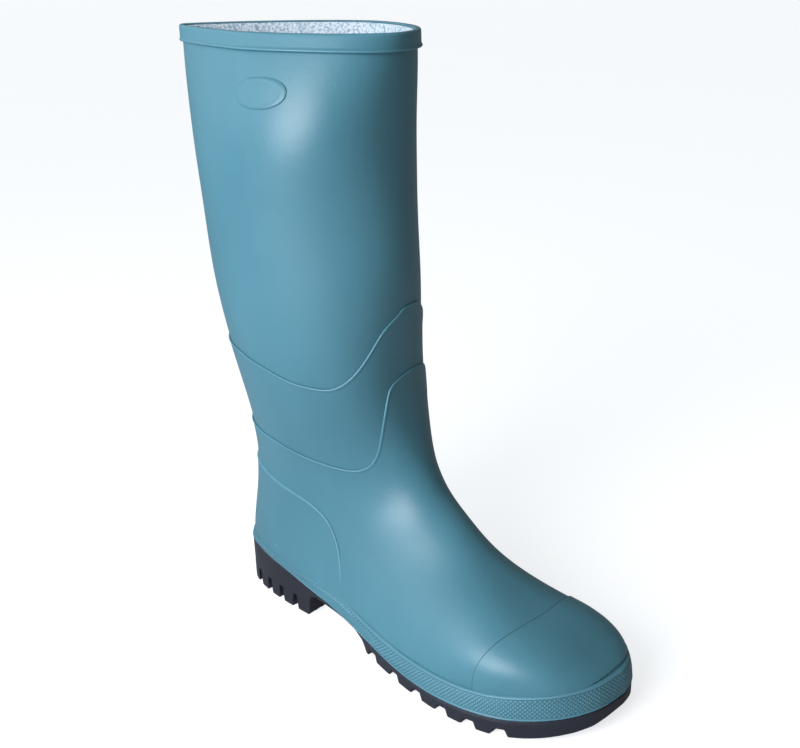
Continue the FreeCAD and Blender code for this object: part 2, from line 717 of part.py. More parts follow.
def build_outsole():
    body = new_body("outsole")
    profile = sketch_on(body, "SideProfile", "XZ_Plane")
    sketch_spline(profile, FEATHER)
    sketch_lines(profile, OUTSOLE_BOTTOM)
    pad(body, "Slab", profile, "Sizes.slab_width", midplane=True)

    trim = sketch_on(body, "Outline", "XY_Plane")
    rectangle(trim, -40, 340, -100, 100)
    trim.addGeometry(outline_curve(), False)
    cut_both_ways(body, "EdgeTrim", trim)

    cut_notches(body)
    cut_grooves(body)
    # heel pocket, open at the top, for the heel core
    hollow = sketch_on(body, "CorePocket", "XY_Plane", "Sizes.core_floor")
    core_plan(hollow, 0.0)
    cut_up(body, "HeelHollow", hollow)
    finish_body(body, cut_shank_seat(body))


def build_heel_core():
    """Block in the heel pocket, its top cut to the feather line."""
    body = new_body("heel_core")
    plan = sketch_on(body, "CorePlan", "XY_Plane", "Sizes.core_floor + Sizes.core_gap")
    core_plan(plan, size("core_gap"))
    pad(body, "CoreBlock", plan, "Sizes.core_blank_high")
    top = sketch_on(body, "CoreTop", "XZ_Plane")
    area_above_feather(top, 0.0, size("core_back") - 4, size("core_front") + 4, 8)
    finish_body(body, cut_both_ways(body, "CoreTopCut", top))


build_outsole()
build_heel_core()
doc.recompute()

# ---------------------------------------------------------------- checks and export
failed = [(o.Name, o.State) for o in doc.Objects
          if any(state in ("Invalid", "Error") for state in o.State)]
pieces = [o for o in doc.Objects if o.TypeId in ("Part::Feature", "PartDesign::Body")]
for piece in pieces:
    shape = piece.Shape
    if shape.isNull() or not shape.isValid() or len(shape.Solids) != 1:
        failed.append((piece.Label, "not one valid solid"))
if failed:
    raise SystemExit("not exported, these pieces failed: %s" % failed)
for piece in pieces:
    piece.Shape.exportStep("parts/%s.step" % piece.Label)
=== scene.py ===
import math
import bpy
import numpy as np
from mathutils import Matrix, Vector


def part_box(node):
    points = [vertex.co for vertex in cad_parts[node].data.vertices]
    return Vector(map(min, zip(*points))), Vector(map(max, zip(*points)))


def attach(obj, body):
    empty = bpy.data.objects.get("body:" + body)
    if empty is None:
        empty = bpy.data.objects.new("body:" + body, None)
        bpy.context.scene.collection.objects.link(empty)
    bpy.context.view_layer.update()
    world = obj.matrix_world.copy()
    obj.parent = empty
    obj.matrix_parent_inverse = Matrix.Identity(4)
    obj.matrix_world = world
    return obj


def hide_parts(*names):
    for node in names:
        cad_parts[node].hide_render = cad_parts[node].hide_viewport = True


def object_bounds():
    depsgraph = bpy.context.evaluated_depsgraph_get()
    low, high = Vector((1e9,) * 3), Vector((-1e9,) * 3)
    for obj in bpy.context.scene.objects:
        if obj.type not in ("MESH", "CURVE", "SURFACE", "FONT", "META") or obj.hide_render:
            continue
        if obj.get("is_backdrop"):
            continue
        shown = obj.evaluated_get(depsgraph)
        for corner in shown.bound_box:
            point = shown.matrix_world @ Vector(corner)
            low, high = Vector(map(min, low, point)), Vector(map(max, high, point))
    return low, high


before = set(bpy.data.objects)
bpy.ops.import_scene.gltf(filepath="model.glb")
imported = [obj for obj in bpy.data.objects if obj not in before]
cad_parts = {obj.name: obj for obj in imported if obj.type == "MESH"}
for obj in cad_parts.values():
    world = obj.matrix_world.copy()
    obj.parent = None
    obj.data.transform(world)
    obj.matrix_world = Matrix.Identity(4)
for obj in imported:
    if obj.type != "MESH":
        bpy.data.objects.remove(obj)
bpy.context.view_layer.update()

MM = 0.001
_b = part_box("outsole")
# the section tables are written from the back edge of the outsole, so the frame's own box gives the shift
SX = _b[0].x / MM + 0.1
SY = (_b[0].y / MM + 58.86 + _b[1].y / MM - 53.34) / 2
SHIFT = np.array([SX, SY, 0.0])

# ------------------------------------------------------------------ section tables (mm)
ROWS = np.array([
    (143.6, 406.0, -17.9, 406.0, 42.0, 69.1, -0.01, 1.7, 1.50, 3.5, -24.4),
    (142.9, 382.8, -17.1, 382.8, 45.0, 66.0, 0.01, 1.7, 1.50, 1.9, -22.0),
    (140.9, 335.1, -14.4, 335.2, 56.0, 55.6, 0.11, 2.3, 1.54, -3.4, -13.9),
    (141.6, 284.7, -6.5, 284.5, 60.2, 58.0, 0.05, 2.0, 1.91, -2.1, -2.8),
    (142.0, 234.8, -2.2, 233.8, 58.8, 57.7, 0.02, 2.05, 1.97, -1.4, -0.5),
    (138.2, 194.9, 5.8, 186.4, 53.3, 54.8, 0.0, 2.4, 2.0, -0.9, 0.0),
    (138.5, 165.2, 10.9, 146.9, 47.7, 52.4, 0.0, 2.45, 2.0, 1.1, 0.0),
    (144.1, 138.7, 11.5, 107.6, 42.4, 46.4, -0.02, 2.28, 2.1, 4.7, 0.0),
    (154.0, 116.2, 7.6, 70.0, 39.0, 42.2, -0.10, 2.05, 2.3, 6.1, 0.0),
    (168.0, 99.5, 5.0, 37.9, 38.5, 39.4, -0.20, 2.1, 2.65, 5.1, 0.0),
    (186.0, 88.4, 22.5, 21.0, 39.6, 38.0, -0.31, 2.15, 3.0, 2.5, 0.0),
    (205.9, 75.5, 79.9, 16.0, 42.0, 37.6, -0.36, 2.3, 3.6, -0.6, 0.0),
    (226.4, 66.1, 149.9, 6.5, 48.0, 38.7, -0.37, 2.6, 4.0, -3.3, 0.0),
    (249.5, 57.6, 204.9, 4.2, 52.0, 42.8, -0.36, 2.9, 4.0, -4.1, 0.0),
    (270.2, 51.0, 247.7, 5.6, 48.0, 41.4, -0.26, 3.0, 4.0, -1.7, 0.0),
    (286.0, 42.2, 276.5, 8.6, 38.0, 32.2, -0.12, 3.0, 3.5, 2.5, 0.0),
    (295.2, 35.8, 291.4, 14.2, 24.0, 18.6, -0.06, 2.7, 3.0, 5.7, 0.0),
    (300.1, 29.9, 298.9, 20.4, 8.0, 6.9, 0.0, 2.2, 2.0, 7.2, 0.0)])
OUT_X = np.array([0, 4, 12, 25, 50, 80, 110, 140, 170, 200, 225, 250, 270, 285, 295, 300, 302.])
OUT_L = np.array([-0.5, 11.8, 22.3, 30.6, 36.2, 38, 39, 43.5, 51.3, 57.2, 58.8, 55.3, 46.3, 34.4, 21.2, 9.3, -4])
OUT_M = np.array([0.5, 12.2, 22.8, 31, 36.4, 36.5, 35, 37, 43.5, 50, 53, 52.5, 47, 39.3, 27.5, 17.8, 9])
FEATHER = np.array([(-6, 31.5), (20, 31.4), (33, 31.0), (42, 30.0), (58, 28.6), (73, 26.9), (91, 24.1), (106, 21.4),
           (126, 17.4), (137.5, 14.4), (152, 11.4), (165, 9.4), (176, 8.5), (188, 8.3), (202, 8.7),
           (214, 9.3), (228, 10.0), (239, 10.6), (253, 11.4), (266, 12.3), (286, 14.5), (295, 15.8), (308, 18.4)])
FOXTOP = np.array([(-6, 37.2), (20, 37.0), (33, 36.6), (42, 35.7), (58, 34.4), (73, 33.5), (91, 33.2), (106, 33.5),
          (120, 33.0), (138, 29.6), (158, 26.2), (178, 23.9), (191, 23.3), (206, 23.5), (219, 23.8),
          (232, 24.3), (247, 25.5), (260, 27.3), (278, 30.1), (290, 31.6), (300, 32.4), (308, 33.0)])
UPPER_SEAM = [(-110, 192.5), (-90, 192.0), (-41, 188.6), (-30, 186.8), (-11.6, 182.6), (6.7, 177.7), (22.7, 175.6),
              (34, 175.7), (43, 180.6), (50, 189.5), (55.4, 200.5), (60, 211), (64, 218.5), (70, 222.5), (100, 224)]
LOWER_SEAM = [(-110, 131.0), (-75, 130.0), (-28, 126.2), (-11.6, 123.4), (8.7, 119.7), (27, 117.2), (40, 116.9),
              (49, 121.0), (54.3, 131), (56.8, 147), (58.0, 162), (59.5, 173), (64, 179), (72, 181.5), (100, 182)]
COUNTER_SEAM = [(-30, 100.5), (10, 99.0), (38, 95.0), (55, 91.8), (67, 89.2), (80, 86.4), (90, 83.0), (99, 78.0),
                (106, 71.2), (113, 62.0), (118, 52.0), (120.5, 42.0), (121.5, 31.0), (121.8, 17.0)]
RIM_Z, RIM_SX, RIM_SY = 380.4, -0.021, 0.0
LEG, THIN, CEMENT, LINING = 1.8, 0.65, 0.25, 1.5
T1 = CEMENT; T2 = T1 + THIN; T3 = T2 + CEMENT; T4 = T3 + THIN; T5 = T4 + CEMENT; T6 = T5 + THIN
L1 = -LEG - CEMENT; L2 = L1 - LINING
U0 = 3.0
BASE = np.array([(0, 0.0), (4, 0.0), (5, -0.25), (6, -0.75), (8, -1.5), (9, -1.6), (12, -1.7), (14, -2.3), (17, -2.4)])
STRETCH = np.array([(0, 1.0), (13, 1.0), (14, 1.05), (15, 1.2), (16, 1.45), (17, 1.6)])


# ------------------------------------------------------------------ numeric helpers
def natural(Y):
    n = len(Y)
    A = np.zeros((n, n)); D = np.zeros(Y.shape)
    A[0, 0] = A[-1, -1] = 1
    for i in range(1, n - 1):
        A[i, i - 1:i + 2] = (1, 4, 1)
        D[i] = 6 * (Y[i + 1] - 2 * Y[i] + Y[i - 1])
    return np.linalg.solve(A, D)


SECOND = natural(ROWS)


def rows_at(v):
    v = np.asarray(v, float)
    i = np.clip(np.floor(v).astype(int), 0, len(ROWS) - 2)
    t = (v - i)[..., None]
    return ((1 - t) * ROWS[i] + t * ROWS[i + 1] + ((1 - t) ** 3 - (1 - t)) * SECOND[i] / 6 + (t ** 3 - t) * SECOND[i + 1] / 6)


def section(v, off, dense=1440):
    """Points of one planar section, evenly spaced by length, as a function of the share of the way round."""
    fx, fz, bx, bz, lat, med, ecc, pf, pb, mid, bend = rows_at(v)
    base = np.interp(v, BASE[:, 0], BASE[:, 1])
    d = (off + base) * np.interp(v, STRETCH[:, 0], STRETCH[:, 1])
    cx, cz, hx, hz = (fx + bx) / 2, (fz + bz) / 2, (fx - bx) / 2, (fz - bz) / 2
    h = math.hypot(hx, hz); ux, uz = hx / h, hz / h
    hn = h + d; ecc = h * ecc / hn; lat += d; med += d
    if v > 16.0:
        t = (off + base) * (v - 16.0)
        cx += uz * t; cz -= ux * t
    a = np.linspace(0, 2 * np.pi, dense + 1)
    ca, sa = np.cos(a), np.sin(a)
    sa[-1] = 0.0; sa[dense // 2] = 0.0
    e = 2.0 / np.where(ca >= 0, pf, pb)
    c = np.where(ca >= 0, ecc + (1 - ecc) * np.abs(ca) ** e, ecc - (1 + ecc) * np.abs(ca) ** e)
    s = np.abs(sa) ** e * np.sign(sa)
    y = mid + np.where(sa >= 0, med, lat) * s + np.where(c < ecc, bend * ((ecc - c) / (1 + ecc)) ** 2, 0)
    w = hn * c
    L = np.r_[0, np.cumsum(np.hypot(np.diff(w), np.diff(y)))]
    return w, y, L / L[-1], (cx, cz, ux, uz)


def surf(v, off, us):
    """3-D points of the section at v, at the shares us."""
    w, y, L, (cx, cz, ux, uz) = section(v, off)
    ww, yy = np.interp(us, L, w), np.interp(us, L, y)
    return np.stack([cx + ux * ww, yy, cz + uz * ww], -1)


class Skin:
    """The master surface on a dense table, read back by bilinear look-up at any (v, u) with a normal offset."""
    def __init__(self, nu=480, step=0.04, v0=0.0, v1=17.0):
        self.nu = nu
        self.u = np.arange(nu) / nu
        self.v = np.arange(v0, v1 + 1e-9, step)
        self.P = np.array([surf(v, 0.0, self.u) for v in self.v])
        Q = np.array([surf(v, 1.0, self.u) for v in self.v])
        self.P += 0
        self.D = Q - self.P                       # motion per mm of offset, as the frame's own solids use
        dv = np.gradient(self.P, axis=0); du = (np.roll(self.P, -1, 1) - np.roll(self.P, 1, 1)) / 2
        n = np.cross(du, dv); n /= np.linalg.norm(n, axis=-1, keepdims=True) + 1e-12
        if np.mean(np.sum(n * self.D, -1)) < 0:
            n = -n
        self.N = n
        self.step = step

    def at(self, v, u, off=0.0):
        v = np.asarray(v, float); u = np.asarray(u, float) % 1.0
        fv = np.clip((v - self.v[0]) / self.step, 0, len(self.v) - 1.001); iv = fv.astype(int); tv = (fv - iv)[..., None]
        fu = u * self.nu; iu = fu.astype(int) % self.nu; tu = (fu - np.floor(fu))[..., None]; ju = (iu + 1) % self.nu

        def look(T):
            return ((1 - tv) * ((1 - tu) * T[iv, iu] + tu * T[iv, ju]) + tv * ((1 - tu) * T[iv + 1, iu] + tu * T[iv + 1, ju]))
        return look(self.P) + look(self.D) * np.asarray(off)[..., None]


def cubic(tab):
    """A smooth curve through (x, z) points, written as z over x by a dense parametric spline."""
    T = np.array(tab, float)
    L = np.r_[0, np.cumsum(np.hypot(np.diff(T[:, 0]), np.diff(T[:, 1])))]
    n = len(T)
    # spline over a uniform index keeps the frame's shape closely enough
    M = natural(T)
    t = np.linspace(0, n - 1 - 1e-9, 1500)
    i = t.astype(int); f = (t - i)[:, None]
    C = (1 - f) * T[i] + f * T[i + 1] + ((1 - f) ** 3 - (1 - f)) * M[i] / 6 + (f ** 3 - f) * M[i + 1] / 6
    return C


def height(tab, x):
    C = cubic(tab)
    return np.interp(x, C[:, 0], C[:, 1])


SKIN = Skin()


def seam_x(P):
    d = math.radians(12.0)
    return (P[..., 0] - 75.0) * math.cos(d) + P[..., 1] * math.sin(d)


def rim_z(P, drop=0.0):
    return RIM_Z - drop + RIM_SX * (P[..., 0] - 64) + RIM_SY * P[..., 1]


def first_v(cond, u, v0, v1, n=900):
    """For each column u, the v at which cond(P) first turns from positive to negative, going down from v0 to v1."""
    vs = np.linspace(v0, v1, n)
    VV, UU = np.meshgrid(vs, u, indexing="ij")
    F = cond(SKIN.at(VV, UU))
    neg = F < 0
    k = np.argmax(neg, axis=0)
    k = np.where(neg.any(axis=0), k, n - 1)
    k = np.clip(k, 1, n - 1)
    j = np.arange(len(u))
    f0, f1 = F[k - 1, j], F[k, j]
    t = np.clip(f0 / np.where(np.abs(f0 - f1) < 1e-9, 1e-9, f0 - f1), 0, 1)
    return vs[k - 1] + (vs[k] - vs[k - 1]) * t


# ------------------------------------------------------------------ mesh helpers
def make(name, verts, faces, mat, body="boot", smooth=True, mats=None, midx=None):
    me = bpy.data.meshes.new(name)
    V3 = (np.asarray(verts, float) + SHIFT) * MM
    me.from_pydata(V3.tolist(), [], [tuple(int(i) for i in f) for f in faces])
    me.validate()
    o = bpy.data.objects.new(name, me)
    bpy.context.scene.collection.objects.link(o)
    for m in (mats or [mat]):
        me.materials.append(m)
    if midx is not None:
        me.polygons.foreach_set("material_index", np.asarray(midx, np.int32))
    if smooth:
        me.polygons.foreach_set("use_smooth", np.ones(len(me.polygons), bool))
    me.update()
    return o


def fast(name, verts, quads, mat, mats=None, midx=None):
    """A quad mesh straight from arrays."""
    V3 = ((np.asarray(verts, float) + SHIFT) * MM).astype(np.float32)
    Q = np.asarray(quads, np.int32)
    me = bpy.data.meshes.new(name)
    me.vertices.add(len(V3)); me.vertices.foreach_set("co", V3.ravel())
    me.loops.add(Q.size); me.loops.foreach_set("vertex_index", Q.ravel())
    me.polygons.add(len(Q)); me.polygons.foreach_set("loop_start", np.arange(0, Q.size, 4, dtype=np.int32))
    try:
        me.polygons.foreach_set("loop_total", np.full(len(Q), 4, np.int32))
    except Exception:
        pass
    me.polygons.foreach_set("use_smooth", np.ones(len(Q), bool))
    for m in (mats or [mat]):
        me.materials.append(m)
    if midx is not None:
        me.polygons.foreach_set("material_index", np.asarray(midx, np.int32))
    me.update(calc_edges=True); me.validate()
    o = bpy.data.objects.new(name, me)
    bpy.context.scene.collection.objects.link(o)
    return o


def loops(R, closed_rows=False, flip=False):
    """Quads over a stack of closed rings R[row][col]; closed_rows joins the last row to the first."""
    nr, nc = R
    i = np.arange(nr if closed_rows else nr - 1)[:, None]; j = np.arange(nc)[None, :]
    i2, j2 = (i + 1) % nr, (j + 1) % nc
    q = np.stack([i * nc + j + 0 * i, i * nc + j2 + 0 * i, i2 * nc + j2, i2 * nc + j + 0 * j], -1).reshape(-1, 4)
    return q[:, ::-1] if flip else q


def orient(o):
    """Turn the faces outward on a closed mesh, by its signed volume."""
    me = o.data
    co = np.zeros(len(me.vertices) * 3); me.vertices.foreach_get("co", co); co = co.reshape(-1, 3)
    me.calc_loop_triangles()
    t = np.zeros(len(me.loop_triangles) * 3, np.int32); me.loop_triangles.foreach_get("vertices", t); t = t.reshape(-1, 3)
    vol = np.einsum("ij,ij->i", co[t[:, 0]], np.cross(co[t[:, 1]], co[t[:, 2]])).sum() / 6
    if vol < 0:
        me.flip_normals()
    return vol


def torus_mesh(name, rings, mat, **kw):
    """A closed band: rings is [profile point][column][xyz], joined both ways."""
    A = np.array(rings)
    o = fast(name, A.reshape(-1, 3), loops(A.shape[:2], True), mat, **kw)
    orient(o)
    return o


def along(P):
    """Length run down each column of P[row][col]."""
    return np.concatenate([np.zeros((1, P.shape[1])), np.cumsum(np.linalg.norm(np.diff(P, axis=0), axis=-1), axis=0)], 0)


# ------------------------------------------------------------------ materials
def new_mat(name):
    m = bpy.data.materials.new(name)
    m.use_nodes = True
    nt = m.node_tree
    return m, nt, nt.nodes["Principled BSDF"]


def link(nt, a, b):
    nt.links.new(a, b)


def texco(nt):
    return nt.nodes.new("ShaderNodeTexCoord").outputs["Object"]


def noise(nt, co, scale, detail=4.0, rough=0.55, dist=0.0):
    n = nt.nodes.new("ShaderNodeTexNoise")
    n.inputs["Scale"].default_value = scale
    n.inputs["Detail"].default_value = detail
    n.inputs["Roughness"].default_value = rough
    n.inputs["Distortion"].default_value = dist
    link(nt, co, n.inputs["Vector"])
    return n.outputs["Fac"]


def stretch(nt, co, s):
    m = nt.nodes.new("ShaderNodeMapping")
    m.inputs["Scale"].default_value = s
    link(nt, co, m.inputs["Vector"])
    return m.outputs["Vector"]


def ramp(nt, fac, stops):
    r = nt.nodes.new("ShaderNodeValToRGB")
    el = r.color_ramp.elements
    while len(el) > 1:
        el.remove(el[-1])
    el[0].position = stops[0][0]; el[0].color = stops[0][1]
    for p, c in stops[1:]:
        e = el.new(p); e.color = c
    link(nt, fac, r.inputs["Fac"])
    return r.outputs["Color"]


def math_node(nt, op, a, b=None, clamp=False):
    n = nt.nodes.new("ShaderNodeMath"); n.operation = op; n.use_clamp = clamp
    for i, x in enumerate((a, b)):
        if x is None:
            continue
        if isinstance(x, (int, float)):
            n.inputs[i].default_value = x
        else:
            link(nt, x, n.inputs[i])
    return n.outputs[0]


def mix(nt, fac, a, b, mode="MIX"):
    n = nt.nodes.new("ShaderNodeMix"); n.data_type = "RGBA"; n.blend_type = mode
    for s, x in ((0, fac), (6, a), (7, b)):
        if isinstance(x, (int, float)):
            n.inputs[s].default_value = x
        elif isinstance(x, tuple):
            n.inputs[s].default_value = x
        else:
            link(nt, x, n.inputs[s])
    return n.outputs[2]


def bump(nt, h, strength, dist, prev=None):
    b = nt.nodes.new("ShaderNodeBump")
    b.inputs["Strength"].default_value = strength
    b.inputs["Distance"].default_value = dist
    link(nt, h, b.inputs["Height"])
    if prev is not None:
        link(nt, prev, b.inputs["Normal"])
    return b.outputs["Normal"]


def pointiness(nt):
    g = nt.nodes.new("ShaderNodeNewGeometry")
    return g.outputs["Pointiness"]


def rubber(name, base, dark, light, rough=0.36, grain=0.02, edge=0.35):
    """Satin moulded rubber: soft cloudy colour, fine grain, flow marks down the leg, bloom on raised edges, painted
    shade in the steps.
    """
    m, nt, p = new_mat(name)
    co = texco(nt)
    cloud = noise(nt, co, 9.0, 3.0, 0.5)
    streak = noise(nt, stretch(nt, co, (60.0, 60.0, 7.0)), 1.0, 5.0, 0.6)
    fine = noise(nt, co, 420.0, 3.0, 0.6)
    grainn = noise(nt, co, 1500.0, 2.0, 0.5)
    c = ramp(nt, cloud, [(0.30, dark + (1,)), (0.5, base + (1,)), (0.72, light + (1,))])
    c = mix(nt, 0.10, c, ramp(nt, streak, [(0.3, dark + (1,)), (0.7, light + (1,))]))
    # bloom: pale dusting where edges stand proud; painted shade darkens the steps and hollows
    pt = pointiness(nt)
    wear = ramp(nt, pt, [(0.505, (0, 0, 0, 1)), (0.56, (1, 1, 1, 1))])
    c = mix(nt, math_node(nt, "MULTIPLY", wear, edge), c, tuple(min(1, 1.75 * x + 0.03) for x in base) + (1,))
    # painted shade: colour darkened where the surface is concave, in the steps and under the beads
    step_shade_mask = ramp(nt, pt, [(0.43, (1, 1, 1, 1)), (0.492, (0, 0, 0, 1))])
    c = mix(nt, math_node(nt, "MULTIPLY", step_shade_mask, 0.55), c, tuple(0.42 * x for x in base) + (1,))
    speck = ramp(nt, noise(nt, co, 900.0, 1.0, 0.4), [(0.70, (0, 0, 0, 1)), (0.78, (1, 1, 1, 1))])
    c = mix(nt, math_node(nt, "MULTIPLY", speck, 0.10), c, tuple(min(1, 2.2 * x + 0.05) for x in base) + (1,))
    link(nt, c, p.inputs["Base Color"])
    r = math_node(nt, "ADD", math_node(nt, "MULTIPLY", cloud, 0.10), math_node(nt, "MULTIPLY", fine, 0.07))
    r = math_node(nt, "ADD", r, math_node(nt, "MULTIPLY", streak, 0.05))
    r = math_node(nt, "ADD", r, rough - 0.11)
    link(nt, r, p.inputs["Roughness"])
    n1 = bump(nt, grainn, 0.35, grain * 0.004)
    n2 = bump(nt, fine, 0.30, grain * 0.010, n1)
    n3 = bump(nt, noise(nt, co, 55.0, 2.0, 0.4), 0.25, grain * 0.020, n2)
    link(nt, n3, p.inputs["Normal"])
    p.inputs["Specular IOR Level"].default_value = 0.5
    return m


TEAL = (0.060, 0.188, 0.243)
M_UP = rubber("boot_rubber", TEAL, (0.053, 0.168, 0.218), (0.068, 0.208, 0.268), rough=0.40, grain=0.03)
M_FOX = rubber("foxing_rubber", (0.054, 0.170, 0.220), (0.046, 0.148, 0.192), (0.064, 0.190, 0.245), rough=0.44, grain=0.03, edge=0.75)
M_SOLE = rubber("outsole_rubber", (0.0085, 0.0100, 0.0185), (0.006, 0.007, 0.0135), (0.013, 0.015, 0.026), rough=0.56, grain=0.05, edge=0.5)
M_LINE = rubber("rubber_seam_shade", (0.030, 0.080, 0.100), (0.026, 0.070, 0.088), (0.036, 0.090, 0.112), rough=0.6, grain=0.03, edge=0.0)


def knit(name):
    """Pale brushed lining: short pile, speckled where the loops shade each other."""
    m, nt, p = new_mat(name)
    co = texco(nt)
    v = nt.nodes.new("ShaderNodeTexVoronoi"); v.inputs["Scale"].default_value = 620.0
    link(nt, co, v.inputs["Vector"])
    n = noise(nt, co, 480.0, 5.0, 0.7)
    big = noise(nt, co, 40.0, 3.0, 0.5)
    f = math_node(nt, "ADD", math_node(nt, "MULTIPLY", v.outputs["Distance"], 0.55), math_node(nt, "MULTIPLY", n, 0.6))
    c = ramp(nt, f, [(0.36, (0.78, 0.84, 0.89, 1)), (0.56, (0.56, 0.66, 0.74, 1)), (0.78, (0.22, 0.33, 0.43, 1))])
    c = mix(nt, math_node(nt, "MULTIPLY", big, 0.25), c, (0.55, 0.68, 0.80, 1))
    link(nt, c, p.inputs["Base Color"])
    p.inputs["Roughness"].default_value = 0.95
    p.inputs["Sheen Weight"].default_value = 0.5
    p.inputs["Sheen Roughness"].default_value = 0.5
    nn = bump(nt, f, 0.9, 0.0006)
    link(nt, nn, p.inputs["Normal"])
    return m


M_KNIT = knit("lining_knit")


def felt(name, a, b, scale=700.0, weave=False):
    m, nt, p = new_mat(name)
    co = texco(nt)
    n = noise(nt, co, scale, 5.0, 0.7)
    if weave:
        w1 = nt.nodes.new("ShaderNodeTexWave"); w1.inputs["Scale"].default_value = 160.0; w1.bands_direction = "X"
        w2 = nt.nodes.new("ShaderNodeTexWave"); w2.inputs["Scale"].default_value = 160.0; w2.bands_direction = "Y"
        link(nt, co, w1.inputs["Vector"]); link(nt, co, w2.inputs["Vector"])
        f = math_node(nt, "MULTIPLY", w1.outputs["Fac"], w2.outputs["Fac"])
        n = math_node(nt, "ADD", math_node(nt, "MULTIPLY", n, 0.5), math_node(nt, "MULTIPLY", f, 0.5))
    link(nt, ramp(nt, n, [(0.3, a + (1,)), (0.7, b + (1,))]), p.inputs["Base Color"])
    p.inputs["Roughness"].default_value = 0.9
    link(nt, bump(nt, n, 0.8, 0.0005), p.inputs["Normal"])
    return m


M_INSOLE = felt("insole_textile", (0.20, 0.26, 0.31), (0.42, 0.49, 0.55), 650.0, True)
M_FOAM = felt("insole_foam", (0.045, 0.055, 0.065), (0.11, 0.125, 0.14), 900.0)
M_BOARD = felt("board_fibre", (0.22, 0.15, 0.09), (0.46, 0.34, 0.21), 300.0)
M_CORE = felt("core_foam", (0.15, 0.145, 0.14), (0.27, 0.26, 0.25), 500.0)


def steel(name):
    m, nt, p = new_mat(name)
    co = texco(nt)
    n = noise(nt, stretch(nt, co, (20.0, 900.0, 900.0)), 1.0, 4.0, 0.6)
    link(nt, ramp(nt, n, [(0.3, (0.30, 0.31, 0.33, 1)), (0.7, (0.52, 0.53, 0.55, 1))]), p.inputs["Base Color"])
    p.inputs["Metallic"].default_value = 1.0
    link(nt, math_node(nt, "ADD", math_node(nt, "MULTIPLY", n, 0.2), 0.25), p.inputs["Roughness"])
    link(nt, bump(nt, n, 0.2, 0.0002), p.inputs["Normal"])
    return m


M_STEEL = steel("shank_steel")

# ------------------------------------------------------------------ plies
U = SKIN.u
NU = SKIN.nu
ARC = along(SKIN.P)


def v_below(v0, s):
    """The v on each column that lies s mm below v0."""
    out = np.empty(len(U))
    for j in range(NU):
        a = np.interp(v0[j], SKIN.v, ARC[:, j])
        out[j] = np.interp(a + (s[j] if np.ndim(s) else s), ARC[:, j], SKIN.v)
    return out


def crossing_factor(v0):
    """How much longer a step down a column must be than the distance square to the edge that runs through v0."""
    P = SKIN.at(v0, U)
    T = np.roll(P, -1, 0) - np.roll(P, 1, 0)
    D = SKIN.at(v0 + 0.03, U) - SKIN.at(v0 - 0.03, U)
    T /= np.linalg.norm(T, axis=-1, keepdims=True); D /= np.linalg.norm(D, axis=-1, keepdims=True)
    k = 1 / np.maximum(np.linalg.norm(np.cross(T, D), axis=-1), 0.22)
    for _ in range(6):
        k = (np.roll(k, 1) + 2 * k + np.roll(k, -1)) / 4
    return k


def edge_profile(s, t_in, t_out, bead, r=0.5, w=0.62, at=1.0):
    x = np.clip(s / r, 0, 1)
    return t_in + (t_out - t_in) * np.sqrt(1 - (1 - x) ** 2) + bead * math.exp(-((s - at) / w) ** 2)


def ply(name, v_top, v_bot, t_in, t_out, mat, bead=0.0, rows=150, r=0.5, first=0.0):
    k = crossing_factor(v_top) if bead else np.ones(NU)
    near = [0.0, 0.06, 0.16, 0.3, 0.46, 0.64, 0.84, 1.05, 1.28, 1.55, 1.9, 2.4, 3.2, 4.4] if bead or r > 0.5 else [0.0, 0.1, 0.25, 0.5, 0.9, 1.6, 3.0]
    rings = []
    vn = None
    for s in near:
        v = v_below(v_top, s * k)
        rings.append(SKIN.at(v, U, edge_profile(s, t_in, t_out, bead, r)))
        vn = v
    for t in np.linspace(0, 1, rows + 1)[1:]:
        rings.append(SKIN.at(vn + (v_bot - vn) * t, U, t_out))
    inner = []
    for t in np.linspace(1, 0, rows // 3 + 1):
        inner.append(SKIN.at(v_top + (v_bot - v_top) * t, U, t_in))
    # keep the inner top edge a touch below the outer roll so the edge closes cleanly
    return torus_mesh(name, rings + inner[:-1], mat)


FEZ = lambda P, dz: P[..., 2] - (height(FEATHER, P[..., 0]) + dz)
v_rim = first_v(lambda P: P[..., 2] - rim_z(P), U, 0.0, 2.5)
v_cut = first_v(lambda P: FEZ(P, U0), U, 6.0, 17.0)
v_up = first_v(lambda P: P[..., 2] - height(UPPER_SEAM, seam_x(P)), U, 3.0, 8.0, 1400)
v_lo = first_v(lambda P: P[..., 2] - height(LOWER_SEAM, seam_x(P)), U, 3.6, 9.0, 1400)

shell = ply("leg_shell_skin", v_below(v_rim, 0.7), v_cut, -LEG, 0.0, M_UP, bead=0.0, rows=240, r=0.9)
ankle = ply("ankle_ply_skin", v_up, v_cut, T1, T2, M_UP, bead=0.34, rows=210)
foot = ply("foot_ply_skin", v_lo, v_cut, T3, T4, M_UP, bead=0.34, rows=200)
for o, n in ((shell, "leg_shell"), (ankle, "ankle_ply"), (foot, "foot_ply")):
    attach(o, "boot"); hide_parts(n)

# ------------------------------------------------------------------ cuff band round the rim
prof = []                                        # (drop below the rim, offset)
for s, t in ((10.0, T1), (7.0, T1), (4.0, T1), (1.6, T1), (0.75, 0.1), (0.62, -0.9), (0.6, -1.55), (0.35, -1.85), (0.05, -1.6), (-0.22, -1.0),
             (-0.38, -0.2), (-0.42, 0.7), (-0.30, 1.5), (0.0, 2.05), (0.5, 2.38), (1.1, 2.45), (2.4, 2.42), (3.6, 2.40), (4.8, 2.38), (6.0, 2.36),
             (6.9, 2.34), (7.5, 2.33), (7.9, 2.38), (8.2, 2.55), (8.5, 2.78), (8.8, 2.93), (9.15, 2.99), (9.5, 2.92), (9.8, 2.68),
             (10.0, 2.25), (10.08, 1.5), (10.1, 0.7)):
    prof.append((s, t))
v_ref = v_below(v_rim, 3.0)
rings = []
for s, t in prof:
    v = v_below(v_rim, max(s, 0.0))
    P = SKIN.at(v, U, t)
    if s < 0:
        P[:, 2] -= s
    rings.append(P)
cuff = torus_mesh("cuff_band_roll", rings, M_UP)
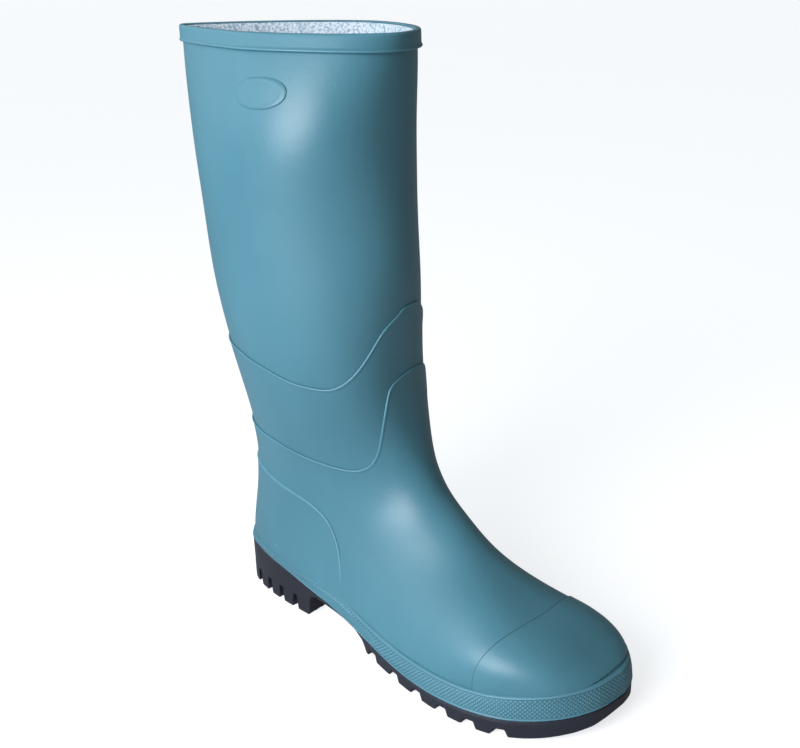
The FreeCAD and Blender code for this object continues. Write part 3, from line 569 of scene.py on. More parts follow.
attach(cuff, "boot"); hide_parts("cuff_band")


# ------------------------------------------------------------------ lining sock
def ladder(loop, m, zfun=None):
    """Fill a closed loop by strips across it: returns the extra points and the quads. Column j faces column n-j."""
    n = len(loop); half = n // 2
    pts, idx = [], {}
    base = n
    for j in range(1, half):
        a, b = loop[j], loop[n - j]
        for q in range(1, m):
            f = q / m
            p = a * (1 - f) + b * f
            if zfun is not None:
                p = p.copy(); p[2] = zfun(p[0], p[1], f)
            idx[(j, q)] = base + len(pts); pts.append(p)

    def at(j, q):
        if j == 0:
            return 0
        if j == half:
            return half
        if q == 0:
            return j
        if q == m:
            return n - j
        return idx[(j, q)]
    faces = []
    for j in range(half):
        for q in range(m):
            f = [at(j, q), at(j + 1, q), at(j + 1, q + 1), at(j, q + 1)]
            g = [x for i, x in enumerate(f) if x != f[i - 1]]
            if len(g) >= 3:
                faces.append(g)
    return np.array(pts), faces


def sock(name, v_top, t_out, t_in, mat, rows=170):
    v_o = np.minimum(first_v(lambda P: FEZ(P, U0 + 0.1), U, 6.0, 17.0), 15.9)
    v_i = np.minimum(first_v(lambda P: FEZ(P, U0 + LINING), U, 6.0, 17.0), 15.5)
    outer = [SKIN.at(v_o + (v_top - v_o) * t, U, t_out) for t in np.linspace(0, 1, rows // 3)]
    top = [SKIN.at(v_top - 0.0, U, t_out + (t_in - t_out) * f) + np.array([0, 0, 0.55 * math.sin(math.pi * f)]) for f in (0.25, 0.5, 0.75)]
    inner = [SKIN.at(v_top + (v_i - v_top) * t, U, t_in) for t in np.linspace(0, 1, rows)]
    R = np.array(outer + top + inner)
    nr, nc = R.shape[:2]
    V0 = R.reshape(-1, 3)
    F = [list(q) for q in loops((nr, nc))]
    pb, fb = ladder(R[0], 8)
    pt, ft = ladder(R[-1], 16)
    off_last = (nr - 1) * nc
    n1 = len(V0)
    F += [[x if x < nc else x - nc + n1 for x in f] for f in fb]
    n2 = n1 + len(pb)
    F += [[x + off_last if x < nc else x - nc + n2 for x in f][::-1] for f in ft]
    o = make(name, np.vstack([V0, pb, pt]), F, mat)
    bpy_recalc(o)
    return o


def bpy_recalc(o):
    import bmesh
    bm = bmesh.new(); bm.from_mesh(o.data)
    bmesh.ops.recalc_face_normals(bm, faces=bm.faces)
    bm.to_mesh(o.data); bm.free()
    orient(o)


lining = sock("lining_sock_knit", v_below(v_rim, 1.3), L1, L2, M_KNIT)
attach(lining, "boot"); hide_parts("lining_sock")


# ------------------------------------------------------------------ sole outline
def periodic_spline(P, n):
    """A closed smooth curve through P, sampled n times at even spacing."""
    K = len(P)
    T = np.vstack([P[-6:], P, P[:7]])
    M = natural(T)
    t = np.linspace(6, 6 + K, n * 6 + 1)
    i = np.minimum(t.astype(int), len(T) - 2); f = (t - i)[:, None]
    C = (1 - f) * T[i] + f * T[i + 1] + ((1 - f) ** 3 - (1 - f)) * M[i] / 6 + (f ** 3 - f) * M[i + 1] / 6
    L = np.r_[0, np.cumsum(np.linalg.norm(np.diff(C, axis=0), axis=-1))]
    q = np.linspace(0, L[-1], n + 1)[:-1]
    return np.stack([np.interp(q, L, C[:, k]) for k in range(C.shape[1])], -1), L[-1]


def outline(n):
    lat = np.stack([OUT_X, -OUT_L], -1); med = np.stack([OUT_X, OUT_M], -1)
    P = np.vstack([lat[::-1], med[1:]])          # from the toe back along the outer side, round the heel, and forward
    keep = [0]
    for i in range(1, len(P)):
        if np.linalg.norm(P[i] - P[keep[-1]]) > 1.2:
            keep.append(i)
    P = P[keep]
    if np.linalg.norm(P[0] - P[-1]) < 1.5:
        P = P[:-1]
    C, L = periodic_spline(P, n)
    return C, L


NS = 2200
OC, OLEN = outline(NS)
tan = np.roll(OC, -1, 0) - np.roll(OC, 1, 0); tan /= np.linalg.norm(tan, axis=1, keepdims=True)
NRM = np.stack([-tan[:, 1], tan[:, 0]], -1)
area = 0.5 * np.sum(OC[:, 0] * np.roll(OC[:, 1], -1) - np.roll(OC[:, 0], -1) * OC[:, 1])
if area < 0:
    NRM = -NRM                                    # now points inward


def slice_cloud(z, off):
    """Where the skin, offset outward, crosses the level z: a cloud of plan points."""
    vs = np.arange(5.0, 17.001, 0.05)
    VV, UU = np.meshgrid(vs, U[::2], indexing="ij")
    P = SKIN.at(VV, UU, np.full(VV.shape, off))
    f = P[..., 2] - z
    a, b = f[:-1], f[1:]
    hit = (a * b) < 0
    t = (a / (a - b + 1e-12))[..., None]
    Q = (P[:-1] * (1 - t) + P[1:] * t)[hit]
    f2 = np.roll(P, -1, 1)
    a, b = P[..., 2] - z, f2[..., 2] - z
    hit = (a * b) < 0
    t = (a / (a - b + 1e-12))[..., None]
    Q2 = (P * (1 - t) + f2 * t)[hit]
    return np.vstack([Q, Q2])[:, :2]


def gaps_at(z, off, st):
    """Clear distance inward from the outline, at stations st, to the skin at level z (negative where the skin is outside)."""
    C = slice_cloud(z, off)
    out = np.full(len(st), 18.0)
    for i, k in enumerate(st):
        d = C - OC[k]
        a = d @ NRM[k]; b = np.abs(d @ np.array([-NRM[k][1], NRM[k][0]]))
        ok = (b < 1.2) & (a > -14) & (a < 26)
        if ok.any():
            out[i] = a[ok].min()
    return out


ST = np.arange(0, NS, 20)
FS = np.array([0.0, 0.15, 0.3, 0.45, 0.6, 0.75, 0.9, 1.0, 1.15])
zf_s = np.interp(OC[ST, 0], *cubic(FEATHER).T); zt_s = np.interp(OC[ST, 0], *cubic(FOXTOP).T)
LV = np.arange(6.0, 42.1, 1.5)
GL = np.array([gaps_at(z, T4, ST) for z in LV])   # level x station
GAP = np.empty((len(FS), len(ST)))
for i in range(len(ST)):
    GAP[:, i] = np.interp(zf_s[i] + FS * (zt_s[i] - zf_s[i]), LV, GL[:, i])
LEDGE = 1.35
lean = np.minimum((GAP[7] - LEDGE), np.min((GAP[2:7] - 1.3) / (FS[2:7, None] ** 2.2), axis=0))
lean = np.clip(lean, 0, 12.0)
push = np.clip(1.6 - (GAP - lean * FS[:, None] ** 2.2), 0, 14)
for _ in range(5):
    lean = (np.roll(lean, 1) + 2 * lean + np.roll(lean, -1)) / 4
    push = (np.roll(push, 1, 1) + 2 * push + np.roll(push, -1, 1)) / 4
full = np.arange(NS)
stx = np.r_[ST, NS]
LEAN = np.interp(full, stx, np.r_[lean, lean[0]])
PUSH = np.array([np.interp(full, stx, np.r_[p, p[0]]) for p in push])
GAPF = np.array([np.interp(full, stx, np.r_[g, g[0]]) for g in GAP])
ZF = np.interp(OC[:, 0], *cubic(FEATHER).T) + CEMENT
ZT = np.interp(OC[:, 0], *cubic(FOXTOP).T)


def fox_point(f, out):
    """Points on the foxing's outer face at share f of its height, lifted outward by out mm."""
    f = np.broadcast_to(f, (NS,)).astype(float); out = np.broadcast_to(out, (NS,))
    ff = np.clip(f, 0, 1.15)
    pu = np.empty(NS)
    k = np.clip(np.searchsorted(FS, ff) - 1, 0, len(FS) - 2)
    t = (ff - FS[k]) / (FS[k + 1] - FS[k])
    pu = PUSH[k, full] * (1 - t) + PUSH[k + 1, full] * t
    ins = LEAN * np.clip(ff, 0, 2) ** 2.2 - pu - out
    z = ZF + f * (ZT - ZF)
    return np.stack([OC[:, 0] + NRM[:, 0] * ins, OC[:, 1] + NRM[:, 1] * ins, z], -1)


S_LEN = np.arange(NS) / NS * OLEN
HGT = ZT - ZF
PITCH = OLEN / round(OLEN / 2.75)


def knurl(s, w):
    """Raised diamonds cut by two families of slanting grooves."""
    a = (s / PITCH + w / PITCH * 1.05); b = (s / PITCH - w / PITCH * 1.05)
    ta = np.abs((a % 1.0) - 0.5) * 2; tb = np.abs((b % 1.0) - 0.5) * 2      # 0 mid groove .. 1 on the diamond's middle
    g = np.minimum(np.clip((1 - ta) / 0.62, 0, 1), np.clip((1 - tb) / 0.62, 0, 1))
    return g * g * (3 - 2 * g)


rows_f = []
bead_lo, bead_hi = 1.0, 1.0                       # mm half heights of the plain beads
knurl_amp = 0.42
# share of the height to w in mm, kept the same for every column so the knurl stays square
Wmax = float(HGT.max())
nw = 56
grid = np.linspace(0, 1, nw)
for g in grid:
    w = g * HGT
    lo = np.exp(-((w - 1.15) / 0.62) ** 2) * 0.55            # bottom bead
    hi = np.exp(-((HGT - w - 0.95) / 0.60) ** 2) * 0.50      # top bead
    env = np.clip((w - 2.1) / 0.5, 0, 1) * np.clip((HGT - w - 1.75) / 0.5, 0, 1)
    k = knurl(S_LEN, w - HGT / 2) * env * knurl_amp
    end = -0.55 * np.clip(1 - w / 0.35, 0, 1) ** 2 - 0.45 * np.clip(1 - (HGT - w) / 0.45, 0, 1) ** 2
    rows_f.append(fox_point(g, lo + hi + k + end - 0.15))
# over the top ledge to the upper, then down inside
top_gap = np.clip(GAPF[7] - (LEAN - PUSH[7]), 1.2, 20.0)
print("foxing ledge", round(float(top_gap.min()), 2), round(float(top_gap.max()), 2), "lean", round(float(LEAN.max()), 2))
for q, dz in ((0.25, 0.10), (0.55, 0.10), (0.85, 0.08), (1.0, 0.02)):
    P = fox_point(1.0, -0.45 - 0.15 - (top_gap + 1.6 - 0.45) * q)
    P[:, 2] += dz
    rows_f.append(P)
for g in (0.8, 0.6, 0.4, 0.2, 0.04):
    gp = np.clip(np.array([np.interp(g, FS, GAPF[:, i] - (LEAN[i] * FS ** 2.2 - PUSH[:, i])) for i in range(NS)]), 1.1, 9.0)
    rows_f.append(fox_point(g, -np.minimum(gp, 7.5)))
rows_f.append(fox_point(0.0, -6.0))
rows_f.append(fox_point(0.0, -1.5))
fox = torus_mesh("foxing_band_knurled", rows_f, M_FOX)
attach(fox, "boot"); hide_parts("foxing_band")

# ------------------------------------------------------------------ outsole
BOTTOM = [(-10, 0.0), (83.6, 0.0), (84.6, 3.0), (86.0, 13.5), (87.6, 16.0), (92, 16.9), (106, 15.0), (121, 13.4), (132, 11.2),
          (139.6, 7.6), (141.8, 5.4), (144.6, 0.6), (146.4, 0.0), (252, 0.0), (261, 0.4), (270, 1.2), (279, 2.4), (291, 4.6), (297, 6.4), (302.5, 10.5), (310, 14)]
LUG_X = np.array([151.5, 175.5, 197.5, 218.5, 238.0, 256.5])
HEEL_X = np.array([13.5, 27.5, 41.5, 55.5, 70.5])
TOE_X = np.array([268.0, 279.5, 289.5])


def smooth(x, a, b):
    t = np.clip((x - a) / (b - a), 0, 1)
    return t * t * (3 - 2 * t)


def slot(x, c, half, soft=1.1):
    return 1 - smooth(np.abs(x - c), half - soft * 0.5, half + soft * 0.5)


def sole_bottom(x, y, e):
    """Underside height at plan point (x, y), e mm in from the edge."""
    z = np.interp(x, *np.array(BOTTOM).T)
    cut = np.zeros_like(x)
    side = np.where(y < 0, -1, 1)
    fore = smooth(x, 145.5, 147.5) * (1 - smooth(x, 258.5, 261.5))
    # edge lugs: notches run in from the edge and slant forward a little
    for c in LUG_X:
        flank = np.clip((5.3 - np.abs(x - 0.10 * e - c)) / 1.9, 0, 1)
        cut = np.maximum(cut, (flank * flank * (3 - 2 * flank) * 0.35 + flank * 0.65) * (1 - smooth(e, 19.5, 21.0)) * 4.7)
    # channel inside the edge lugs and bars across the middle
    zig = 22.3 + 1.6 * np.abs(((x - 151.5) / 22.0) % 1.0 - 0.5) * 2
    cut = np.maximum(cut, slot(e, zig, 2.0, 1.0) * fore * 4.0)
    mid = smooth(e, 23.5, 24.5) * fore
    for c in (163.5, 186.5, 208.0, 228.5, 247.5):
        cut = np.maximum(cut, slot(x + 0.28 * np.abs(y + 3.0), c + 4.0, 2.6) * mid * 3.8)
    # toe: short nicks round the inner edge and two bars
    for c in TOE_X:
        cut = np.maximum(cut, slot(x - 0.25 * e, c, 1.9) * (1 - smooth(e, 9.5, 10.5)) * np.where(y > 8, 2.6, 0.0))
    cut = np.maximum(cut, slot(np.hypot((x - 238.0) * 1.0, (y - 2.0) * 1.15), 34.0, 1.7) * smooth(x, 262.0, 264.0) * smooth(e, 10.5, 12.0) * 3.0)
    # heel: deep notches round the edge, chevrons inside
    heel = 1 - smooth(x, 81.0, 83.0)
    for c in HEEL_X:
        taper = 2.6 - 0.0 * e
        cut = np.maximum(cut, slot(x - 0.12 * e, c, taper, 1.6) * (1 - smooth(e, 12.5, 14.5)) * np.where(np.abs(y) > 12, 11.0, 0.0))
    for c in (-7.0, 7.0):
        cut = np.maximum(cut, slot(y, c, 2.3, 1.4) * (1 - smooth(x, 8.5, 10.5)) * 11.0)
    for c in (24.0, 38.0, 52.0, 66.0):
        cut = np.maximum(cut, slot(x + 0.35 * np.abs(y), c + 3.0, 2.4) * smooth(e, 17.0, 18.5) * heel * 3.8)
    cut = np.maximum(cut, slot(e, 15.8, 1.5, 0.9) * heel * 3.4 * (x > 6))
    return z + cut


def edge_distance(P):
    """Distance in from the outline for plan points, from a coarse nearest search."""
    A = OC[::5]
    out = np.empty(len(P))
    for i in range(0, len(P), 4000):
        d = P[i:i + 4000, None, :] - A[None]
        out[i:i + 4000] = np.sqrt((d ** 2).sum(-1).min(1))
    return out


NO = 1320
OO, _ = outline(NO)
half = NO // 2
M = 150
F = np.linspace(0, 1, M + 1)
J = np.arange(0, half + 1)
A, B = OO[J], OO[(NO - J) % NO]
G = A[:, None, :] * (1 - F)[None, :, None] + B[:, None, :] * F[None, :, None]       # [station][across]
flat = G.reshape(-1, 2)
E_ = edge_distance(flat).reshape(G.shape[:2])
E_[:, 0] = 0; E_[:, -1] = 0
GX, GY = G[..., 0], G[..., 1]
ZB = sole_bottom(GX, GY, E_)
ZTOP = np.interp(GX, *cubic(FEATHER).T)
ZB = np.minimum(ZB, ZTOP - 1.2)
# soften the ground edge a little where a lug meets the side
round_in = 0.55
ZB += np.where(E_ < 0.9, (1 - E_ / 0.9) ** 2 * round_in, 0)
top_edge = np.interp(OO[:, 0], *cubic(FEATHER).T)
zb_edge = np.empty(NO)
zb_edge[J] = ZB[:, 0]; zb_edge[(NO - J) % NO] = ZB[:, -1]
verts, faces = [], []
nb = (half + 1) * (M + 1)
bot = np.stack([GX, GY, ZB], -1).reshape(-1, 3)
topv = np.stack([GX, GY, ZTOP], -1).reshape(-1, 3)
W = 22
walls = []
nin = np.stack([-(np.roll(OO, -1, 0) - np.roll(OO, 1, 0))[:, 1], (np.roll(OO, -1, 0) - np.roll(OO, 1, 0))[:, 0]], -1)
nin /= np.linalg.norm(nin, axis=1, keepdims=True)
if area < 0:
    nin = -nin
for q in range(1, W):
    f = q / W
    z = zb_edge + (top_edge - zb_edge) * f
    # a fine step under the feather line, and a hint of draft toward the ground
    dist_top = top_edge - z
    ins = 0.35 * np.exp(-((dist_top - 0.5) / 0.45) ** 2) + 0.012 * np.clip(dist_top, 0, 30) - 0.1
    walls.append(np.stack([OO[:, 0] + nin[:, 0] * ins, OO[:, 1] + nin[:, 1] * ins, z], -1))
V_all = np.vstack([bot, topv] + walls)


def gid(j, q, layer):
    if j == 0:
        q = 0
    if j == half:
        q = 0
    return layer * nb + j * (M + 1) + q


quads = []
jj, qq = np.meshgrid(np.arange(half), np.arange(M), indexing="ij")
jj, qq = jj.ravel(), qq.ravel()
idx = np.arange(nb).reshape(half + 1, M + 1)
idx[0, :] = idx[0, 0]; idx[half, :] = idx[half, 0]
for layer, fl in ((0, False), (1, True)):
    I = idx + layer * nb
    q4 = np.stack([I[jj, qq], I[jj + 1, qq], I[jj + 1, qq + 1], I[jj, qq + 1]], -1)
    quads.append(q4[:, ::-1] if fl else q4)
Q4 = np.vstack(quads)


def rim_ids(layer):
    r = np.empty(NO, int)
    r[J] = idx[J, 0] + layer * nb
    jm = np.arange(1, half)
    r[NO - jm] = idx[jm, M] + layer * nb
    return r


stack = [rim_ids(0)] + [2 * nb + q * NO + np.arange(NO) for q in range(W - 1)] + [rim_ids(1)]
for a, b in zip(stack, stack[1:]):
    Q4 = np.vstack([Q4, np.stack([a, np.roll(a, -1), np.roll(b, -1), b], -1)])
faces = []
for f in Q4.tolist():
    g = [x for i, x in enumerate(f) if x != f[i - 1]]
    if len(set(g)) >= 3:
        faces.append(g)
sole = make("outsole_tread", V_all, faces, M_SOLE)
bpy_recalc(sole)
import bmesh
bm = bmesh.new(); bm.from_mesh(sole.data)
bmesh.ops.delete(bm, geom=[v for v in bm.verts if not v.link_faces], context="VERTS")
bm.to_mesh(sole.data); bm.free()
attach(sole, "boot"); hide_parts("outsole")


# ------------------------------------------------------------------ toe cap
def strip_solid(name, outer, inner, mat):
    """A closed thin solid from two matching open grids [row][col]."""
    O, I = np.array(outer), np.array(inner)
    nr, nc = O.shape[:2]
    n = nr * nc
    id0 = np.arange(n).reshape(nr, nc); id1 = id0 + n
    i, j = np.meshgrid(np.arange(nr - 1), np.arange(nc - 1), indexing="ij")
    i, j = i.ravel(), j.ravel()
    q = [np.stack([id0[i, j], id0[i, j + 1], id0[i + 1, j + 1], id0[i + 1, j]], -1),
         np.stack([id1[i, j], id1[i + 1, j], id1[i + 1, j + 1], id1[i, j + 1]], -1)]
    for e0, e1 in ((id0[0, :], id1[0, :]), (id0[-1, ::-1], id1[-1, ::-1]), (id0[::-1, 0], id1[::-1, 0]), (id0[:, -1], id1[:, -1])):
        q.append(np.stack([e0[1:], e0[:-1], e1[:-1], e1[1:]], -1))
    o = fast(name, np.vstack([O.reshape(-1, 3), I.reshape(-1, 3)]), np.vstack(q), mat)
    bpy_recalc(o)
    return o


uc = np.linspace(-0.30, 0.30, 341)
v_end = first_v(lambda P: P[..., 2] - (height(FOXTOP, P[..., 0]) - 1.2), uc % 1.0, 9.0, 17.0, 1200)
v_arc = first_v(lambda P: (251.5 - 0.0045 * P[..., 1] ** 2) - P[..., 0], uc % 1.0, 9.0, 17.0, 1200)
ok = v_arc < v_end - 0.03
k0, k1 = np.argmax(ok), len(ok) - 1 - np.argmax(ok[::-1])
uc, v_end, v_arc = uc[k0:k1 + 1], v_end[k0:k1 + 1], v_arc[k0:k1 + 1]
outer, inner = [], []
near = np.array([0.0, 0.08, 0.2, 0.36, 0.55, 0.78, 1.05, 1.4, 1.9, 2.7])
spd = np.linalg.norm(SKIN.at(v_arc + 0.05, uc) - SKIN.at(v_arc - 0.05, uc), axis=-1) / 0.1
last = v_arc
for s in near:
    v = np.minimum(v_arc + s / np.maximum(spd, 3.0), v_end)
    outer.append(SKIN.at(v, uc, edge_profile(s, T4 - 0.02, T6 - 0.12, 0.0, 0.4)))
    inner.append(SKIN.at(v, uc, T4 - 0.05)); last = v
for t in np.linspace(0, 1, 81)[1:]:
    v = last + (v_end - last) * t
    outer.append(SKIN.at(v, uc, T6 - 0.12 + 0.12 * min(1, 8 * t))); inner.append(SKIN.at(v, uc, T4 - 0.05))
toe = strip_solid("toe_cap_ply", outer, inner, M_UP)
toe.data.materials.append(M_LINE)
_nc = len(uc)
_vz = np.array([v.co.z for v in toe.data.vertices]) / MM
_n2 = len(toe.data.vertices) // 2
for _p in toe.data.polygons:
    _vi = [v % _n2 for v in _p.vertices]
    if max(_vi) < 5 * _nc and _vz[_p.vertices[0]] < 62 - 0.0 * _nc:
        _p.material_index = 1
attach(toe, "boot"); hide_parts("toe_cap")

# ------------------------------------------------------------------ heel counter, cut from a fine grid along its edge
CS = cubic(COUNTER_SEAM)


def seam_distance(P):
    """Signed distance in side view to the counter's edge, positive inside."""
    p = P[..., [0, 2]].reshape(-1, 2)
    A = CS[::6]
    d = np.empty(len(p)); sgn = np.empty(len(p))
    for i in range(0, len(p), 6000):
        q = p[i:i + 6000, None, :] - A[None]
        k = (q ** 2).sum(-1).argmin(1)
        d[i:i + 6000] = np.sqrt((q ** 2).sum(-1).min(1))
        kk = np.clip(k, 1, len(A) - 2)
        t = A[kk + 1] - A[kk - 1]
        w = p[i:i + 6000] - A[kk]
        sgn[i:i + 6000] = np.sign(t[:, 1] * w[:, 0] - t[:, 0] * w[:, 1])
    return (d * sgn).reshape(P.shape[:-1])


if seam_distance(np.array([[30.0, 0.0, 60.0]]))[0] < 0:
    _raw = seam_distance

    def seam_distance(P):
        return -_raw(P)


def clipped(name, us, vs_of, nv, dist, t_in, t_out, bead, mat):
    """A thin closed solid over the part of the skin where dist > 0, its edge cut exactly where dist is zero."""
    import bmesh
    nu = len(us)
    Vv = np.array([vs_of(t) for t in np.linspace(0, 1, nv)])
    Uu = np.broadcast_to(us, Vv.shape)
    D = dist(SKIN.at(Vv, Uu % 1.0))
    ids, par = {}, []

    def vert(v, u, d, key):
        if key not in ids:
            ids[key] = len(par); par.append((v, u, max(d, 0.0)))
        return ids[key]
    polys = []
    for r in range(nv - 1):
        for c in range(nu - 1):
            cs = ((r, c), (r, c + 1), (r + 1, c + 1), (r + 1, c))
            dd = [D[k] for k in cs]
            if max(dd) <= 0:
                continue
            poly = []
            for a in range(4):
                p, q = cs[a], cs[(a + 1) % 4]
                if D[p] > 0:
                    poly.append(vert(Vv[p], Uu[p], D[p], p))
                if (D[p] > 0) != (D[q] > 0):
                    f = D[p] / (D[p] - D[q])
                    f = min(0.98, max(0.02, f))
                    key = (min(p, q), max(p, q))
                    poly.append(vert(Vv[p] + (Vv[q] - Vv[p]) * f, Uu[p] + (Uu[q] - Uu[p]) * f, 0.0, key))
            if len(poly) >= 3:
                polys.append(poly)
    par = np.array(par)
    s = par[:, 2]
    off = np.array([edge_profile(x, t_in, t_out, bead, 0.45) for x in s])
    zz = SKIN.at(par[:, 0], par[:, 1] % 1.0)[:, 2]
    a = np.clip((zz - 38) / 26, 0, 1); b = np.clip(s / 16, 0, 1)
    keep = 1 - (1 - a * a * (3 - 2 * a)) * (1 - b * b * (3 - 2 * b))       # the front edge thins out to nothing low down
    off = (t_in - 0.02) + (off - t_in + 0.02) * keep
    O = SKIN.at(par[:, 0], par[:, 1] % 1.0, off)
    I = SKIN.at(par[:, 0], par[:, 1] % 1.0, np.full(len(par), t_in - 0.04))
    n = len(par)
    edges = {}
    for p in polys:
        for a in range(len(p)):
            e = (p[a], p[(a + 1) % len(p)])
            edges[e] = edges.get(e, 0) + 1
    faces = [list(p) for p in polys] + [[x + n for x in p][::-1] for p in polys]
    for (a, b) in edges:
        if (b, a) not in edges:
            faces.append([b, a, a + n, b + n])
    o = make(name, np.vstack([O, I]), faces, mat)
    bpy_recalc(o)
    return o


us = np.linspace(0.5 - 0.44, 0.5 + 0.44, 760)
v_hb = first_v(lambda P: P[..., 2] - (height(FOXTOP, P[..., 0]) - 1.2), us % 1.0, 6.0, 17.0, 1200)
v_hb = np.minimum(v_hb, 13.0)
v_ht = np.full(len(us), 6.9)
counter = clipped("heel_counter_ply", us, lambda t: v_ht + (v_hb - v_ht) * t, 300, seam_distance, T4, T6, 0.26, M_UP)
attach(counter, "boot"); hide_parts("heel_counter")

# ------------------------------------------------------------------ plain raised pad on the leg
bc = np.array([88.0, 349.0]); ba, bb = 18.0, 8.5
vv = np.interp(np.linspace(330, 368, 60)[::-1], SKIN.P[:200, NU // 2, 2][::-1], SKIN.v[:200][::-1])
nphi, nrho = 160, 22
rho = np.r_[0, np.linspace(0.2, 0.80, 9), np.linspace(0.83, 1.0, 12)]
phi = np.linspace(0, 2 * np.pi, nphi, endpoint=False)


def leg_at(x, z, off):
    """Skin parameters on the outer side of the leg for a side-view point."""
    v = np.interp(z, SKIN.P[:200, int(NU * 0.75), 2][::-1], SKIN.v[:200][::-1])
    lat = np.arange(int(NU * 0.52), int(NU * 0.98))
    u = np.empty(len(x))
    for i in range(len(x)):
        fv = v[i] / SKIN.step
        iv = min(len(SKIN.v) - 2, int(fv))
        xs = SKIN.P[iv, lat, 0] * (1 - (fv - iv)) + SKIN.P[iv + 1, lat, 0] * (fv - iv)
        o = np.argsort(xs)
        u[i] = np.interp(x[i], xs[o], U[lat][o])
    return SKIN.at(v, u, off)


RR, PP = np.meshgrid(rho, phi, indexing="ij")
sx = np.sign(np.cos(PP)) * np.abs(np.cos(PP)) ** 0.9; sz = np.sign(np.sin(PP)) * np.abs(np.sin(PP)) ** 0.9
bx, bz = bc[0] + ba * RR * sx, bc[1] + bb * RR * sz
edge_mm = (1 - RR) * bb
h = 0.02 + 0.95 * np.sqrt(np.clip(1 - (1 - np.clip(edge_mm / 1.1, 0, 1)) ** 2, 0, 1))
h += 0.16 * np.exp(-((edge_mm - 1.5) / 0.5) ** 2)
top = leg_at(bx.ravel(), bz.ravel(), h.ravel()).reshape(nrho, nphi, 3)
low = leg_at(bx[-1], bz[-1], np.full(nphi, -0.15))
lowc = leg_at(np.array([bc[0]]), np.array([bc[1]]), np.array([-0.15]))
vb = np.vstack([top[0, :1], top[1:].reshape(-1, 3), low, lowc])
fb = []
n1 = 1
for j in range(nphi):
    fb.append([0, n1 + j, n1 + (j + 1) % nphi])
for r in range(nrho - 2):
    a, b = n1 + r * nphi, n1 + (r + 1) * nphi
    for j in range(nphi):
        fb.append([a + j, b + j, b + (j + 1) % nphi, a + (j + 1) % nphi])
a = n1 + (nrho - 2) * nphi; b = a + nphi; c = b + nphi
for j in range(nphi):
    fb.append([a + j, b + j, b + (j + 1) % nphi, a + (j + 1) % nphi])
    fb.append([b + j, c, b + (j + 1) % nphi])
pad = make("badge_pad_plain", vb, fb, M_UP)
bpy_recalc(pad)
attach(pad, "boot"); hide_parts("badge_pad")


# ------------------------------------------------------------------ insole, board and the parts inside
def resample(loop, n):
    L = np.r_[0, np.cumsum(np.linalg.norm(np.diff(np.vstack([loop, loop[:1]]), axis=0), axis=1))]
    C = np.vstack([loop, loop[:1]])
    q = np.linspace(0, L[-1], n + 1)[:-1]
    return np.stack([np.interp(q, L, C[:, k]) for k in range(3)], -1)


def plate(name, off, dz0, dz1, mat, cup=0.0, m=28, n=420, rnd=0.6, grain=0.0):
    mid = (dz0 + dz1) / 2
    vs = np.arange(6.0, 15.7001, 0.02)
    v_l = np.minimum(first_v(lambda P: FEZ(P, mid), U, 6.0, 15.7), 15.7)
    loop = SKIN.at(v_l, U, np.full(NU, off))
    loop = resample(loop, n)
    # start the loop at the toe so that the two sides face each other
    loop = np.roll(loop, -int(np.argmax(loop[:, 0])), axis=0)
    zf = lambda x: np.interp(x, *cubic(FEATHER).T)
    cen = np.stack([loop[:, 0], np.interp(loop[:, 0], [0, 120, 200, 300], [4.5, 3.5, -2.5, 6.0])], -1)
    rings = []
    prof = [(dz0, -rnd), (dz0 + 0.3 * rnd, -0.25 * rnd), ((dz0 + dz1) / 2, 0.0), (dz1 - 0.3 * rnd, -0.25 * rnd), (dz1, -rnd)]
    t2 = np.roll(loop[:, :2], -1, 0) - np.roll(loop[:, :2], 1, 0); t2 /= np.linalg.norm(t2, axis=1, keepdims=True) + 1e-9
    nn = np.stack([-t2[:, 1], t2[:, 0]], -1)
    ar = 0.5 * np.sum(loop[:, 0] * np.roll(loop[:, 1], -1) - np.roll(loop[:, 0], -1) * loop[:, 1])
    if ar < 0:
        nn = -nn
    for dz, o in prof:
        P = loop.copy()
        P[:, :2] += nn * (-o)
        P[:, 2] = zf(loop[:, 0]) + dz
        rings.append(P)
    R = np.array(rings); nr = len(R)
    V0 = R.reshape(-1, 3)
    Fq = [list(q) for q in loops((nr, n))]

    def ztop(x, y, f):
        return zf(x) + dz1 - cup * 0.0

    pb, fb_ = ladder(R[0], m, lambda x, y, f: zf(x) + dz0)
    pt, ft_ = ladder(R[-1], m, ztop)
    n1 = len(V0); last = (nr - 1) * n
    Fq += [[x if x < n else x - n + n1 for x in f] for f in fb_]
    n2 = n1 + len(pb)
    Fq += [[x + last if x < n else x - n + n2 for x in f][::-1] for f in ft_]
    o = make(name, np.vstack([V0, pb, pt]), Fq, mat)
    bpy_recalc(o)
    return o


z1 = U0 + LINING + CEMENT; z2 = z1 + 3.5
foam = plate("insole_foam_layer", L2 - 1.85, z1, z2, M_FOAM)
cover = plate("insole_cover_felt", L2 - 1.85, z2 + CEMENT, z2 + CEMENT + 0.7, M_INSOLE, rnd=0.3)
for o, nme, s in ((foam, "insole_foam", "insole_foam"), (cover, "insole_cover", "insole_textile")):
    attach(o, "insole"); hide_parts(nme)
board = plate("insole_board_fibre", 0.6, CEMENT, CEMENT + 2.5, M_BOARD, rnd=0.3, m=12)
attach(board, "boot"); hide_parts("insole_board")
for nme, mt in (("arch_shank", M_STEEL), ("heel_core", M_CORE)):
    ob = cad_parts[nme]
    ob.data.materials.clear(); ob.data.materials.append(mt)

# ------------------------------------------------------------------ stage, light, camera
def stage_mat(name, col, rough):
    m, nt, p = new_mat(name)
    n = noise(nt, texco(nt), 3.0, 2.0)
    link(nt, ramp(nt, n, [(0.3, tuple(0.985 * x for x in col) + (1,)), (0.7, col + (1,))]), p.inputs["Base Color"])
    p.inputs["Roughness"].default_value = rough
    return m


